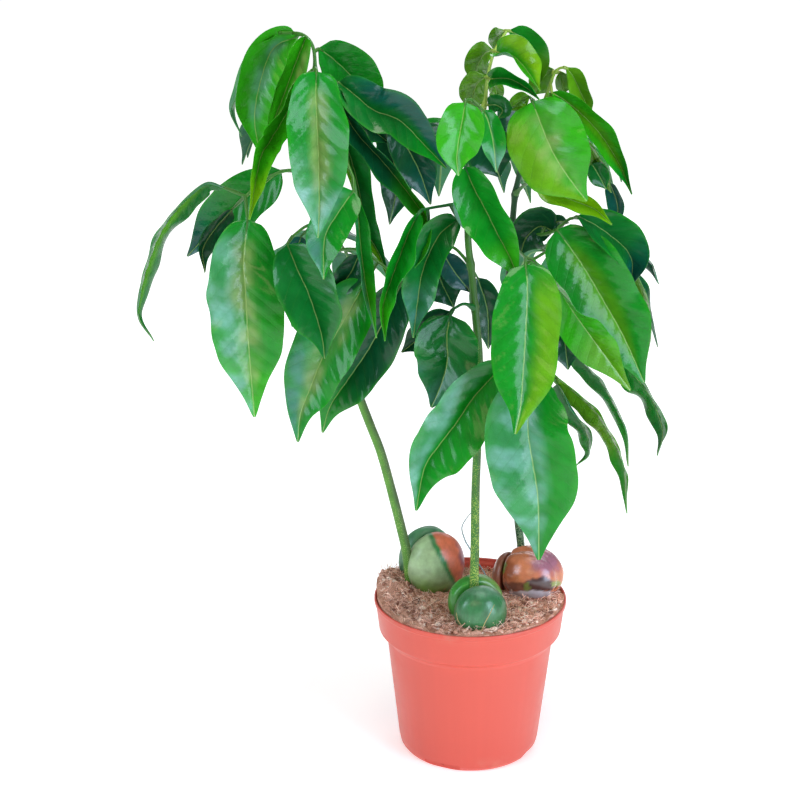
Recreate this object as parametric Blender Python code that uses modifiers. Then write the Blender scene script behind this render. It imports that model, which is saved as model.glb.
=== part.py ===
"""Potted black bean tree: three seedlings of the Moreton Bay chestnut in a moulded nursery pot.

Each seedling stands between the two halves of the big seed that it grew from. Its leaves are fronds: a
stalk with large drooping leaflets on both sides. Every length is in millimetres until a mesh is made,
and the meshes are in metres. The origin is on the pot's axis, at the underside of its base.
"""

import math
import random
from collections import namedtuple

import bmesh
import bpy
from mathutils import Matrix, Vector, noise

MM = 0.001

# The pot, a standard 12 cm nursery pot
POT_HEIGHT = 101.0
RIM_RADIUS = 60.0
LIP_DEPTH = 2.8
BAND_DEPTH = 20.6
BAND_FOOT_RADIUS = 57.0
BODY_TOP_RADIUS = 52.0
FOOT_RADIUS = 44.4
FOOT_HEIGHT = 8.0
BASE_RADIUS = 40.6
POT_WALL = 1.2
POT_STEPS = 36
RECESS_ANGLES = (-25.0, 65.0, 155.0, -115.0)
RECESS_WIDTH = 24.0
RECESS_HEIGHT = 4.5
RECESS_REACH = 40.2
DRAIN_RADIUS = 1.2
DRAIN_HEIGHT = 3.0
DRAIN_SIDES = 10

# How far the pot's outline steps at each of its small edges
RIM_ROUND_IN = 0.4
RIM_ROUND_DOWN = 0.6
LIP_STEP_IN = 1.0
LIP_STEP_DOWN = 0.8
BAND_EASE_UP = 1.0
BAND_EASE_IN = 0.8
BAND_EASE_DOWN = 0.6
SHOULDER_OUT = 1.2
SHOULDER_TOP = 3.0
SHOULDER_FOOT = 5.6
FOOT_EASE_IN = 1.0
FOOT_EASE_SHARE = 0.38
BASE_EASE_OUT = 1.1
BASE_EASE_UP = 0.7
INSIDE_EASE_UP = 0.6
INSIDE_SHOULDER_OUT = 0.4
INSIDE_SHOULDER_TOP = 2.4
INSIDE_SHOULDER_FOOT = 5.4
FLOOR_EXTRA = 0.4

# How far the cutters reach past what they cut
RECESS_CUTTER_OUT = 8.0
RECESS_CUTTER_DOWN = 3.0
DRILL_LENGTH = 12.0
SPACE_CUTTER_UP = 4.0

# The soil, a coir and peat mix heaped a little higher on the left
SOIL_TOP = 101.5
SOIL_FALL_TO_BACK = 0.14
HEAP_HEIGHT = 15.0
HEAP_PLACE = (-58.0, 14.0)
HEAP_SPREAD = 24.0
CRUMB_HEIGHT = 1.3
SOIL_RINGS = (0.0, 8.0, 16.0, 24.0, 31.0, 38.0, 45.0, 51.0, 55.5)
SOIL_STEPS = 30
CRUMB_FINENESS = 0.21
CRUMB_LAYER = 3.0
HEAP_EDGE_FALL = 0.45
HEAP_EDGE_POWER = 12
LEVEL_SLACK = 0.01

# Room left between pieces that touch
CLEARANCE = 0.3
CUTTER_ROOM = CLEARANCE + 0.1
SEAT_SLACK = 0.05
SEAT_STEP = 0.1
SEAT_RIM_POINTS = 12
FINE_WELD = 0.000001
PROFILE_WELD = 0.00005
CAP_WELD = 0.00002
SHORT_EDGE = 0.05
NEEDLE_HEIGHT = 0.01
NEEDLE_ROUNDS = 4
ROOT_LENGTH = 36.0

# The stems and the seeds
STEM_STATION = 22.0
STEM_SIDES = 8
STEM_TAPER = 0.8
SEED_SEGMENTS = 14
SEED_RINGS = 8

# One leaflet's blade: its outline, its waved edges, and its little stalk
BLADE_THICKNESS = 0.8
BLADE_SHIFT = 0.82
BLADE_FULLNESS = 0.75
TIP_START = 0.7
TIP_NARROWING = 0.5
TIP_WIDTH = 0.035
RIPPLE_HEIGHT = 1.6
RIPPLE_SHARE = 0.05
RIGHT_RIPPLES = 1.7
LEFT_RIPPLES = 1.9
STALK_RADIUS = 1.0
STALK_ROOT_SHARE = 0.8
STALK_FLATNESS = 0.8
STALK_EDGE = 0.4
STALK_SINK = 0.3
NEAR_BASE = 0.02
BLADE_STATIONS = (0.0, 0.13, 0.31, 0.5, 0.69, 0.86, 1.0)
SHORT_BLADE_STATIONS = (0.0, 0.2, 0.48, 0.78, 1.0)
SHORT_BLADE = 88.0

# A frond's stalk, with its swollen foot
RACHIS_RADIUS = 1.25
RACHIS_TAPER = 0.3
RACHIS_STATION = 14.0
RACHIS_SIDES = 6
PULVINUS_RADIUS = 2.0
PULVINUS_LENGTH = 4.0

# The leaflets that are placed by rule
FIRST_PAIR = 0.45
PAIR_SPREAD = 0.5
PAIR_LEAN = 0.55
LEAVE_DROP = 0.1
HANG_LEAN = 0.42
LEAVE_LENGTH = 4.0
DROOP_STEPS = 4
DROOP_SPEED = 1.15
FACE_LIFT = 0.8
LENGTH_RANGE = (0.85, 1.1)
WIDTH_RANGE = (0.9, 1.1)
FOLD_RANGE = (14, 30)

# Where someone stands who looks at the plant from the front, and the upright plane through the pot's axis.
# A spot is (across, up, depth): its place as seen on that plane, and how far behind the plane it lies.
EYE = Vector((-43.9, -1045.6, 579.7))

POT_COLOUR = (0.83, 0.155, 0.095)
SOIL_COLOUR = (0.20, 0.105, 0.065)
STEM_COLOUR = (0.16, 0.28, 0.06)
MATURE_COLOUR = (0.012, 0.22, 0.016)
YOUNG_COLOUR = (0.07, 0.34, 0.02)
SHADE_COLOUR = (0.005, 0.10, 0.03)
GREEN_SEED_COLOUR = (0.16, 0.30, 0.12)
DARK_SEED_COLOUR = (0.03, 0.20, 0.06)
BROWN_SEED_COLOUR = (0.40, 0.13, 0.075)

POT_ROUGHNESS = 0.42
SOIL_ROUGHNESS = 0.95
STEM_ROUGHNESS = 0.5
SEED_ROUGHNESS = 0.3
LEAF_ROUGHNESS = 0.25

# Edges that bend more than this many degrees stay sharp
POT_SHARP = 30
SEED_SHARP = 35
LEAF_SHARP = 40

Stem = namedtuple("Stem", "name spots foot_radius top_radius")
Lobe = namedtuple("Lobe", "name seed centre heading offset radii gap colour stem")
Leaflet = namedtuple("Leaflet", "spots depths wide fold turn twist")
Frond = namedtuple("Frond", "name stem height rachis leaflets colour")
RuledFrond = namedtuple("RuledFrond", "name stem height rachis pairs long wide seed")

STEMS = {
    "left": Stem(
        "left_stem",
        [(-38.0, 112, 5), (-40.0, 131, 4), (-42.9, 145, 4), (-48.8, 170, 4), (-55.5, 196, 4), (-62, 214, 4),
         (-69, 234, 4), (-78, 265, 2), (-85, 292, 0), (-89, 330, -2), (-91, 370, -4), (-92, 405, -5),
         (-92.3, 424, -6)],
        3.3, 2.1),
    "middle": Stem(
        "middle_stem",
        [(2.4, 106, -33), (2.6, 133, -33), (2.5, 170, -33), (3.3, 202, -32), (4.4, 230, -31), (3.4, 259, -30),
         (1.3, 280, -29), (-1.4, 307, -27), (-4, 329, -25), (-4, 352, -22), (-2, 378, -18), (3, 404, -14)],
        3.0, 1.8),
    "right": Stem(
        "right_stem",
        [(31.2, 133, 28), (28.6, 155, 28), (25.6, 198, 27), (23.5, 242, 26), (21.9, 292, 24), (20.9, 314, 22),
         (22.6, 350, 19), (24.6, 364, 17), (30.5, 388, 13), (35, 401, 10)],
        2.6, 1.7),
}

SEED_CENTRES = {
    "left": (-24.5, 15.5),
    "middle": (3.2, -33.5),
    "right": (24.5, 12.0),
}

LOBES = [
    Lobe("left_seed_front_half", "left", 118.3, -68.0, 8.0, (13.5, 18.8, 21.2),
         2.0, GREEN_SEED_COLOUR, "left"),
    Lobe("left_seed_back_half", "left", 116.5, 112.0, 7.0, (12.5, 18.4, 21.5),
         2.0, GREEN_SEED_COLOUR, "left"),
    Lobe("middle_seed_front_half", "middle", 108.5, -78.0, 7.0, (12.0, 16.2, 16.4), 1.6, DARK_SEED_COLOUR,
         "middle"),
    Lobe("middle_seed_back_half", "middle", 110.0, 102.0, 6.0, (11.5, 17.0, 17.0), 1.6, DARK_SEED_COLOUR,
         "middle"),
    Lobe("right_seed_main_half", "right", 113.5, -25.0, 15.0, (21.0, 18.0, 17.5), 1.2, BROWN_SEED_COLOUR,
         "right"),
    Lobe("right_seed_small_half", "right", 110.0, 155.0, 1.0, (8.5, 13.6, 14.0), 1.2, BROWN_SEED_COLOUR,
         "right"),
]


def leaflet(spots, depths, wide, fold=22, turn=0, twist=0):
    """One hand-placed leaflet: its midrib's places as seen, the depths of its two ends, width and tilt."""
    return Leaflet(spots, depths, wide, fold, turn, twist)


FRONDS = [
    Frond("left_crown_frond", "left", None, [(-93, 440, -10), (-99, 448, -16), (-111, 449, -26)], [
        leaflet([(-102, 447), (-116, 440), (-124, 420), (-127.5, 400), (-125, 380)], (-18, -30), 34, 32, -12),
        leaflet([(-113, 449), (-127, 441), (-134, 431), (-138.5, 418), (-141.5, 405), (-135, 390)],
                (-24, 2), 24, 20, -78),
        leaflet([(-97, 447), (-104, 430), (-111, 412), (-117, 397), (-119, 383)], (-30, -44), 26, 58, -4),
        leaflet([(-90, 440), (-84, 436), (-74, 427), (-65, 417), (-54, 403)], (-6, 14), 34, 34, -6),
    ], YOUNG_COLOUR),
    Frond("left_side_frond", "left", 366,
          [(-100, 369, -4), (-110, 370, -10), (-122, 365, -20), (-134, 355, -30)], [
        leaflet([(-146, 360), (-158, 362), (-178, 343), (-192, 317), (-200, 285), (-191, 267)],
                (-32, -38), 24, 20, -70),
        leaflet([(-113, 370), (-123, 362), (-135, 353), (-146, 344), (-169, 319)], (8, 22), 34, 30),
        leaflet([(-133, 341), (-136, 316), (-135.5, 300), (-134.5, 267), (-132, 219)], (-36, -52), 44, 12),
        leaflet([(-142, 347), (-152, 336), (-160, 323), (-159, 309)], (-16, -22), 14, 30, -30),
    ], MATURE_COLOUR),
    Frond("left_front_frond", "left", 395, [(-94, 414, -22), (-95, 426, -38), (-92, 429, -54)], [
        leaflet([(-91.5, 427), (-92, 412), (-91, 380), (-91, 350), (-92, 330)], (-62, -80), 38, 31),
        leaflet([(-98, 424), (-108, 405), (-119, 387), (-125, 376), (-132, 341)], (-48, -70), 26, 62, -8),
    ], YOUNG_COLOUR),
    Frond("left_inner_frond", "left", 408,
          [(-87, 410, -12), (-80, 417, -14), (-68, 411, -8), (-55, 402, -4)], [
        leaflet([(-79, 421), (-70, 414), (-59, 405), (-44, 399), (-29, 384), (-17, 371.5)],
                (-22, -32), 32, 42, -10),
        leaflet([(-78, 417), (-76, 405), (-68, 391), (-54, 375.5), (-43.5, 362.5), (-35, 351), (-29, 341),
                 (-31, 325)], (-26, -32), 26, 64, 10),
        leaflet([(-82, 399), (-74, 382), (-68, 360), (-64, 336), (-56, 320), (-51, 306)],
                (-12, -30), 22, 52, -10),
        leaflet([(-74, 408), (-68, 400), (-60, 394), (-50, 386)], (-2, -2), 22, 40),
        leaflet([(-48, 396), (-39, 382), (-32, 368), (-26, 350)], (0, -4), 26, 30),
        leaflet([(-52, 394), (-48, 378), (-46, 360), (-50, 338)], (8, 2), 22, 20),
    ], MATURE_COLOUR),
    Frond("left_low_frond", "left", 338, [(-93, 338, -14), (-99, 337, -26), (-107, 331, -40)], [
        leaflet([(-110, 326), (-104, 310), (-98, 296), (-91, 272), (-89, 256)], (-48, -62), 40, 38),
        leaflet([(-102, 331), (-106, 318), (-112, 300)], (-16, -20), 22, 30, -20),
    ], MATURE_COLOUR),
    Frond("left_forward_frond", "left", 318,
          [(-82, 322, -14), (-70, 323, -26), (-56, 315, -36), (-45, 305, -40)], [
        leaflet([(-64, 304), (-76.5, 281), (-90, 257), (-98, 237), (-104, 221), (-106, 203)],
                (-36, -48), 40, 25, 12),
        leaflet([(-43, 303), (-50, 287), (-62, 263), (-75, 243), (-86, 226), (-91, 209)], (-40, -30), 34, 24),
        leaflet([(-68, 320), (-73, 309), (-80, 300), (-86, 293)], (-30, -36), 20, 35),
    ], MATURE_COLOUR),
    Frond("left_centre_frond", "left", 386, [(-86, 388, -22), (-78, 382, -36), (-71, 366, -48)], [
        leaflet([(-71, 358), (-80, 345), (-88, 330), (-89, 305)], (-54, -74), 25, 24),
        leaflet([(-69, 352), (-67, 325), (-64, 300), (-58, 269)], (-50, -54), 16, 60, -12),
    ], YOUNG_COLOUR),
    Frond("middle_crown_frond", "middle", 408,
          [(5, 411, -13), (6, 423, -12), (9.5, 438, -8), (16.5, 450, -2)], [
        leaflet([(18, 450), (25, 446), (31, 438), (35, 430), (36.5, 421)], (-2, 8), 23, 47, -8),
        leaflet([(15, 450), (12, 447), (10, 438)], (0, 28), 12, 24),
        leaflet([(8.5, 439), (4, 437), (0, 430), (-2, 420)], (-6, 20), 18, 24),
        leaflet([(5, 424), (1, 421), (-2, 415), (-4, 405)], (-10, 12), 20, 24),
        leaflet([(11, 438), (20, 436), (28, 428), (36, 416)], (-12, -46), 24, 50, -26),
        leaflet([(8, 423), (18, 423), (28, 418), (36, 411)], (-18, -52), 20, 64),
        leaflet([(7, 421), (11, 417), (11, 408)], (-6, 14), 10, 24),
        leaflet([(6.5, 408), (11, 408), (15, 405), (12, 400)], (-16, -24), 13, 30),
    ], YOUNG_COLOUR),
    Frond("middle_front_frond", "middle", 400, [(1, 407, -26), (-3, 411, -40), (-6, 411, -52)], [
        leaflet([(-6.5, 409.5), (-8, 400), (-10, 388), (-11, 377), (-10, 367)], (-58, -68), 28, 26),
        leaflet([(4, 405), (7, 398), (10, 386), (12, 369)], (-42, -52), 15, 20),
    ], YOUNG_COLOUR),
    Frond("middle_low_frond", "middle", 368, [(-4, 375, -32), (-6, 374, -46)], [
        leaflet([(-6, 372), (-1, 360), (6, 347), (13, 333), (20, 320), (27, 304)], (-50, -64), 36, 46, 12),
        leaflet([(-8, 360), (-7, 350), (-4, 341), (3, 331)], (-42, -46), 13, 24),
        leaflet([(2, 392), (8, 380), (14, 366)], (-30, -34), 30, 24),
    ], MATURE_COLOUR),
    Frond("middle_left_frond", "middle", 346, [(-10, 350, -30), (-20, 349, -38), (-31, 347, -46)], [
        leaflet([(-10, 341), (-20, 333), (-27, 320), (-31, 308), (-33, 295), (-36, 269)], (-40, -58), 28, 42),
        leaflet([(-33, 345), (-38, 335), (-43, 322), (-48, 308), (-54, 288), (-53, 267)],
                (-50, -64), 24, 64, -10),
        leaflet([(-27, 340), (-33, 322), (-40, 312), (-47, 302)], (-44, -52), 16, 60),
    ], MATURE_COLOUR),
    Frond("middle_bottom_frond", "middle", 288, [(-6, 290, -36), (-12, 287, -42)], [
        leaflet([(-14, 285), (-22, 278), (-33, 268), (-43, 260)], (-40, -32), 22, 35),
        leaflet([(-14, 283), (-16, 270), (-15.5, 255), (-19, 240), (-25, 225)], (-46, -56), 40, 18),
    ], MATURE_COLOUR),
    Frond("middle_shaded_frond", "middle", 314, [(-6, 318, -14), (-12, 324, -4), (-20, 326, 4)], [
        leaflet([(-18, 320), (-12, 310), (-2, 297)], (-6, -8), 18, 24),
        leaflet([(-24, 322), (-20, 305), (-12, 288)], (6, 0), 32, 24),
        leaflet([(2, 306), (8, 286), (9, 262)], (-8, -8), 20, 24),
    ], SHADE_COLOUR),
    Frond("right_crown_frond", "right", None, [(40, 414, 6), (44.5, 427, 0), (49, 429.5, -3)], [
        leaflet([(43, 415), (50, 411), (60, 403), (70, 393), (78, 382), (85, 370), (91, 356)],
                (-6, -6), 24, 60),
        leaflet([(51, 429), (55, 424), (60, 414), (66, 402)], (-2, 10), 18, 48),
        leaflet([(47.5, 427), (49, 421), (49, 414)], (4, 14), 10, 24),
        leaflet([(43.5, 428), (38, 424), (33, 414)], (6, 24), 18, 24),
    ], YOUNG_COLOUR),
    Frond("right_front_frond", "right", 392, [(34, 402, -6), (33, 410, -20), (31.5, 411, -34)], [
        leaflet([(32, 410), (36, 400), (41, 388), (46, 378), (54, 366), (65, 352)], (-40, -58), 46, 14, 10),
        leaflet([(39, 411), (43, 411), (48, 407)], (-6, 2), 9, 24),
        leaflet([(30, 413), (26, 411), (18, 405)], (-16, -12), 11, 24),
        leaflet([(27, 406), (19, 392), (14, 375)], (-10, -16), 22, 24),
    ], MATURE_COLOUR),
    Frond("right_middle_frond", "right", 356, [(29, 362, 2), (33, 362, -16)], [
        leaflet([(36, 361), (45, 357), (58, 352), (70, 347), (80, 338)], (-28, -38), 20, 54),
    ], YOUNG_COLOUR),
    Frond("right_side_frond", "right", 332, [(28, 335, 10), (38, 332, -2), (48, 335, -12), (57, 342, -18),
                                            (72, 338, -12), (84, 331, -2)], [
        leaflet([(48, 335), (57, 323), (66, 310), (78, 290), (90, 269), (103, 241)], (-26, -36), 46, 15),
        leaflet([(60, 343), (70, 338), (80, 331), (89, 323), (93, 314), (92, 300)], (-28, -18), 34, 50, -10),
        leaflet([(86, 330), (95, 321), (104, 315), (109, 302)], (0, 4), 18, 20, 74),
        leaflet([(88, 322), (97, 304), (101, 293), (105, 278), (104, 256)], (2, 8), 20, 20, 60),
        leaflet([(76, 331), (84, 322), (93, 311)], (-8, -4), 12, 56),
        leaflet([(46, 334), (38, 337), (30, 330), (27, 320)], (0, 4), 26, 24),
        leaflet([(42, 338), (49, 340), (55, 339)], (2, 0), 9, 24),
    ], MATURE_COLOUR),
    Frond("right_low_frond", "right", 262, [(25, 263, 6), (24, 260, -20), (26, 256, -44), (36, 252, -60),
                                           (46, 246, -68)], [
        leaflet([(17, 251), (10, 243), (0, 231), (-10, 215), (-20, 201), (-29, 186), (-34, 158)],
                (-52, -80), 40, 32, -14),
        leaflet([(42, 244), (37, 235), (34, 222), (34, 208), (37, 190), (41, 165), (42.5, 125)],
                (-72, -94), 49, 10),
        leaflet([(49, 245), (60, 236), (74, 222), (85, 206), (93, 186), (96, 156)], (-62, -40), 20, 20, 66),
        leaflet([(51, 240), (60, 224), (68, 212), (71, 203), (71, 194), (64, 188)], (-58, -44), 20, 20, 62),
    ], MATURE_COLOUR),
    Frond("right_forward_frond", "right", 320,
          [(23, 322, 4), (26, 322, -22), (29, 319, -50), (30, 317, -64)], [
        leaflet([(30, 314), (31.5, 300), (31, 270), (30, 245), (29, 226), (26, 208)], (-72, -104), 40, 10),
        leaflet([(34, 317), (42, 310), (51, 298), (60, 284), (73, 266), (84, 251), (95, 236)],
                (-56, -54), 30, 20, 72, -64),
    ], MATURE_COLOUR),
    Frond("right_lower_frond", "right", 282, [(28, 286, 14), (40, 287, 4), (54, 284, -4), (68, 277, -6),
                                             (80, 270, -4)], [
        leaflet([(51, 283), (54, 270), (57, 249)], (-10, -18), 24, 24),
        leaflet([(57, 276), (61, 261), (70, 249), (78, 240), (88, 222), (94, 208), (95.5, 187)],
                (-12, -4), 18, 20, 66),
        leaflet([(85, 266), (97, 246), (106, 234), (112, 222), (116, 208), (113, 194)], (-6, 2), 22, 20, 58),
    ], MATURE_COLOUR),
    Frond("right_back_frond", "right", 386, [(38, 396, 18), (52, 398, 20), (62, 390, 14), (70, 379, 8),
                                            (77, 365, 6)], [
        leaflet([(63, 387), (68, 380), (73, 370), (79, 357)], (2, 2), 16, 20, 50),
        leaflet([(67, 374), (71, 368), (76, 359)], (-2, -6), 13, 24),
        leaflet([(78, 363), (83, 350), (83, 336)], (6, 4), 12, 24, 30),
    ], MATURE_COLOUR),
]

RULED_FRONDS = [
    RuledFrond("left_rear_frond", "left", 396,
               [(-92, 406, 20), (-94, 418, 46), (-97, 418, 74)], 2, 68, 28, 11),
    RuledFrond("left_rear_low_frond", "left", 326,
               [(-86, 332, 22), (-82, 332, 46), (-76, 322, 72)], 2, 78, 30, 12),
    RuledFrond("middle_rear_frond", "middle", 382,
               [(-5, 392, 12), (-11, 400, 36), (-15, 398, 60)], 2, 72, 28, 13),
    RuledFrond("right_rear_frond", "right", 374,
               [(38, 388, 34), (48, 398, 56), (54, 398, 80)], 2, 50, 26, 14),
    RuledFrond("right_rear_low_frond", "right", 308,
               [(36, 318, 40), (50, 325, 58), (66, 322, 78)], 2, 70, 28, 15),
]


def clear_scene():
    """Take away whatever the new file holds."""
    for found in list(bpy.data.objects):
        bpy.data.objects.remove(found, do_unlink=True)


def new_collection(name):
    """A collection linked under the scene."""
    made = bpy.data.collections.new(name)
    bpy.context.scene.collection.children.link(made)
    return made


def dress(piece, name, colour, roughness):
    """Give a piece its own plain material."""
    material = bpy.data.materials.new(name)
    material.use_nodes = True
    shader = material.node_tree.nodes["Principled BSDF"]
    shader.inputs["Base Color"].default_value = (*colour, 1.0)
    shader.inputs["Roughness"].default_value = roughness
    piece.data.materials.clear()
    piece.data.materials.append(material)


def mesh_object(name, mesh, collection):
    """An object for a mesh, in a collection."""
    piece = bpy.data.objects.new(name, mesh)
    collection.objects.link(piece)
    return piece


def make_cutter(piece):
    """Mark an object as a cutter, which is no part of the plant."""
    piece.hide_render = True
    piece.display_type = "WIRE"
    return piece


def turned(name, profile, collection, steps=POT_STEPS):
    """A round solid turned from a profile of (radius, height), given from its top down its outer side."""
    mesh = bpy.data.meshes.new(name)
    points = [(radius * MM, 0.0, height * MM) for radius, height in profile]
    edges = [(index, index + 1) for index in range(len(points) - 1)]
    mesh.from_pydata(points, edges, [])
    piece = mesh_object(name, mesh, collection)
    screw = piece.modifiers.new("Turned", "SCREW")
    screw.steps = steps
    screw.render_steps = steps
    screw.use_merge_vertices = True
    screw.merge_threshold = PROFILE_WELD
    return piece


def settled(piece, weld=FINE_WELD):
    """Replace an object's mesh by what its modifiers make of it, welded, as one body."""
    graph = bpy.context.evaluated_depsgraph_get()
    graph.update()
    mesh = bpy.data.meshes.new_from_object(piece.evaluated_get(graph))
    piece.modifiers.clear()
    piece.data = mesh
    bm = bmesh.new()
    bm.from_mesh(mesh)
    bmesh.ops.remove_doubles(bm, verts=bm.verts, dist=weld)
    drop_scraps(bm)
    bmesh.ops.recalc_face_normals(bm, faces=bm.faces)
    bm.to_mesh(mesh)
    bm.free()
    return piece


def without_needles(piece):
    """Take out an object's needle-thin triangles: short edges are closed up, and a long one that a corner
    almost touches is turned to end in that corner."""
    bm = bmesh.new()
    bm.from_mesh(piece.data)
    bmesh.ops.triangulate(bm, faces=bm.faces)
    for _ in range(NEEDLE_ROUNDS):
        short = [edge for edge in bm.edges if edge.calc_length() < SHORT_EDGE * MM]
        bmesh.ops.collapse(bm, edges=short)
        for edge in needle_edges(bm):
            if edge.is_valid and edge.is_manifold:
                bmesh.utils.edge_rotate(edge)
    bmesh.ops.recalc_face_normals(bm, faces=bm.faces)
    bm.to_mesh(piece.data)
    bm.free()


def needle_edges(bm):
    """The longest edge of each triangle that is almost flat along it."""
    found = []
    for face in bm.faces:
        longest = max(face.edges, key=lambda edge: edge.calc_length())
        if 2 * face.calc_area() < NEEDLE_HEIGHT * MM * longest.calc_length() and longest not in found:
            found.append(longest)
    return found


def drop_scraps(bm):
    """Keep a mesh's largest body, and take away any loose scrap or sealed hollow."""
    unseen = set(bm.faces)
    bodies = []
    while unseen:
        body = [unseen.pop()]
        for face in body:
            for edge in face.edges:
                for other in edge.link_faces:
                    if other in unseen:
                        unseen.remove(other)
                        body.append(other)
        bodies.append(body)
    bodies.sort(key=len)
    scraps = [face for body in bodies[:-1] for face in body]
    if scraps:
        bmesh.ops.delete(bm, geom=scraps, context="FACES")


def cut(piece, cutter, solver="EXACT"):
    """Cut one closed object out of another."""
    boolean = piece.modifiers.new("Cut", "BOOLEAN")
    boolean.operation = "DIFFERENCE"
    boolean.object = cutter
    boolean.solver = solver


def joined(piece, others, name):
    """Grow a collection of closed objects onto a piece as one body, then take the collection away."""
    grown = new_collection(name)
    for other in others:
        for holder in list(other.users_collection):
            holder.objects.unlink(other)
        grown.objects.link(other)
    boolean = piece.modifiers.new("Grown together", "BOOLEAN")
    boolean.operation = "UNION"
    boolean.operand_type = "COLLECTION"
    boolean.collection = grown
    boolean.solver = "MANIFOLD"
    settled(piece)
    for other in others:
        bpy.data.objects.remove(other, do_unlink=True)
    bpy.data.collections.remove(grown)
    return piece


def smooth_by_angle(piece, degrees):
    """Shade a piece smooth, apart from its edges sharper than an angle."""
    piece.data.shade_smooth()
    piece.data.set_sharp_from_angle(angle=math.radians(degrees))


def sighted(spot):
    """The point that covers the given place on the upright plane, at its own depth behind the plane."""
    across, up, depth = spot
    reach = (depth - EYE.y) / -EYE.y
    return EYE + (Vector((across, 0.0, up)) - EYE) * reach


class Route:
    """A smooth curve through points, walked by the share of its length."""

    FINENESS = 14

    def __init__(self, points):
        ends = [points[0] * 2 - points[1], *points, points[-1] * 2 - points[-2]]
        self.points = [points[0].copy()]
        for before, start, end, after in zip(ends, ends[1:], ends[2:], ends[3:]):
            for step in range(1, self.FINENESS + 1):
                share = step / self.FINENESS
                self.points.append(self.between(before, start, end, after, share))
        self.lengths = [0.0]
        for first, second in zip(self.points, self.points[1:]):
            self.lengths.append(self.lengths[-1] + (second - first).length)
        self.length = self.lengths[-1]

    @staticmethod
    def between(before, start, end, after, share):
        """A point on the Catmull-Rom span from start to end."""
        slope = (end - before) * 0.5
        next_slope = (after - start) * 0.5
        square = share * share
        cube = square * share
        return (start * (2 * cube - 3 * square + 1) + slope * (cube - 2 * square + share)
                + end * (3 * square - 2 * cube) + next_slope * (cube - square))

    def at(self, share):
        """The point at a share of the length."""
        wanted = max(0.0, min(1.0, share)) * self.length
        for index in range(1, len(self.lengths)):
            if self.lengths[index] >= wanted:
                span = self.lengths[index] - self.lengths[index - 1]
                part = (wanted - self.lengths[index - 1]) / span
                return self.points[index - 1].lerp(self.points[index], part)
        return self.points[-1].copy()

    def along(self, share):
        """The unit direction at a share of the length."""
        step = 0.02
        return (self.at(share + step) - self.at(share - step)).normalized()


def nearest_on(line, place):
    """The point of a chain of straight lengths that is nearest to a place."""
    found = []
    for first, second in zip(line, line[1:]):
        span = second - first
        share = max(0.0, min(1.0, (place - first).dot(span) / span.length_squared))
        found.append(first + span * share)
    return min(found, key=lambda point: (point - place).length)


def tube(name, points, radii, collection, sides):
    """A closed tube through points, as a bevelled curve made into a mesh."""
    curve = bpy.data.curves.new(name, "CURVE")
    curve.dimensions = "3D"
    curve.bevel_depth = MM
    curve.bevel_resolution = (sides - 4) // 2
    curve.use_fill_caps = True
    spline = curve.splines.new("POLY")
    spline.points.add(len(points) - 1)
    for target, point, radius in zip(spline.points, points, radii):
        target.co = (*(point * MM), 1.0)
        target.radius = radius
    guide = mesh_object(name + "_guide", curve, collection)
    graph = bpy.context.evaluated_depsgraph_get()
    mesh = bpy.data.meshes.new_from_object(guide.evaluated_get(graph))
    bpy.data.objects.remove(guide, do_unlink=True)
    bm = bmesh.new()
    bm.from_mesh(mesh)
    bmesh.ops.remove_doubles(bm, verts=bm.verts, dist=CAP_WELD)
    bmesh.ops.recalc_face_normals(bm, faces=bm.faces)
    bm.to_mesh(mesh)
    bm.free()
    return mesh_object(name, mesh, collection)


def pot_outside():
    """The pot's outer outline, from the middle of its top down to the middle of its base."""
    band_foot = POT_HEIGHT - BAND_DEPTH
    return [
        (0.0, POT_HEIGHT),
        (RIM_RADIUS - RIM_ROUND_IN, POT_HEIGHT),
        (RIM_RADIUS, POT_HEIGHT - RIM_ROUND_DOWN),
        (RIM_RADIUS, POT_HEIGHT - LIP_DEPTH),
        (RIM_RADIUS - LIP_STEP_IN, POT_HEIGHT - LIP_DEPTH - LIP_STEP_DOWN),
        (BAND_FOOT_RADIUS, band_foot + BAND_EASE_UP),
        (BAND_FOOT_RADIUS - BAND_EASE_IN, band_foot - BAND_EASE_DOWN),
        (BODY_TOP_RADIUS + SHOULDER_OUT, band_foot - SHOULDER_TOP),
        (BODY_TOP_RADIUS, band_foot - SHOULDER_FOOT),
        (FOOT_RADIUS, FOOT_HEIGHT),
        (FOOT_RADIUS - FOOT_EASE_IN, FOOT_HEIGHT * FOOT_EASE_SHARE),
        (BASE_RADIUS + BASE_EASE_OUT, BASE_EASE_UP),
        (BASE_RADIUS, 0.0),
        (0.0, 0.0),
    ]


def pot_inside(shrink, top):
    """The outline of the space in the pot, drawn in by a margin, up to a height."""
    band_foot = POT_HEIGHT - BAND_DEPTH
    wall = POT_WALL + shrink
    return [
        (RIM_RADIUS - wall, top),
        (RIM_RADIUS - wall, POT_HEIGHT - LIP_DEPTH + INSIDE_EASE_UP),
        (RIM_RADIUS - LIP_STEP_IN - wall, POT_HEIGHT - LIP_DEPTH - LIP_STEP_DOWN),
        (BAND_FOOT_RADIUS - wall, band_foot + INSIDE_EASE_UP + shrink),
        (BODY_TOP_RADIUS + INSIDE_SHOULDER_OUT - wall, band_foot - INSIDE_SHOULDER_TOP + shrink),
        (BODY_TOP_RADIUS - wall, band_foot - INSIDE_SHOULDER_FOOT + shrink),
        (FOOT_RADIUS - wall, FOOT_HEIGHT + shrink),
        (BASE_RADIUS - wall, POT_WALL + FLOOR_EXTRA + shrink),
        (0.0, POT_WALL + FLOOR_EXTRA + shrink),
    ]


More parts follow.
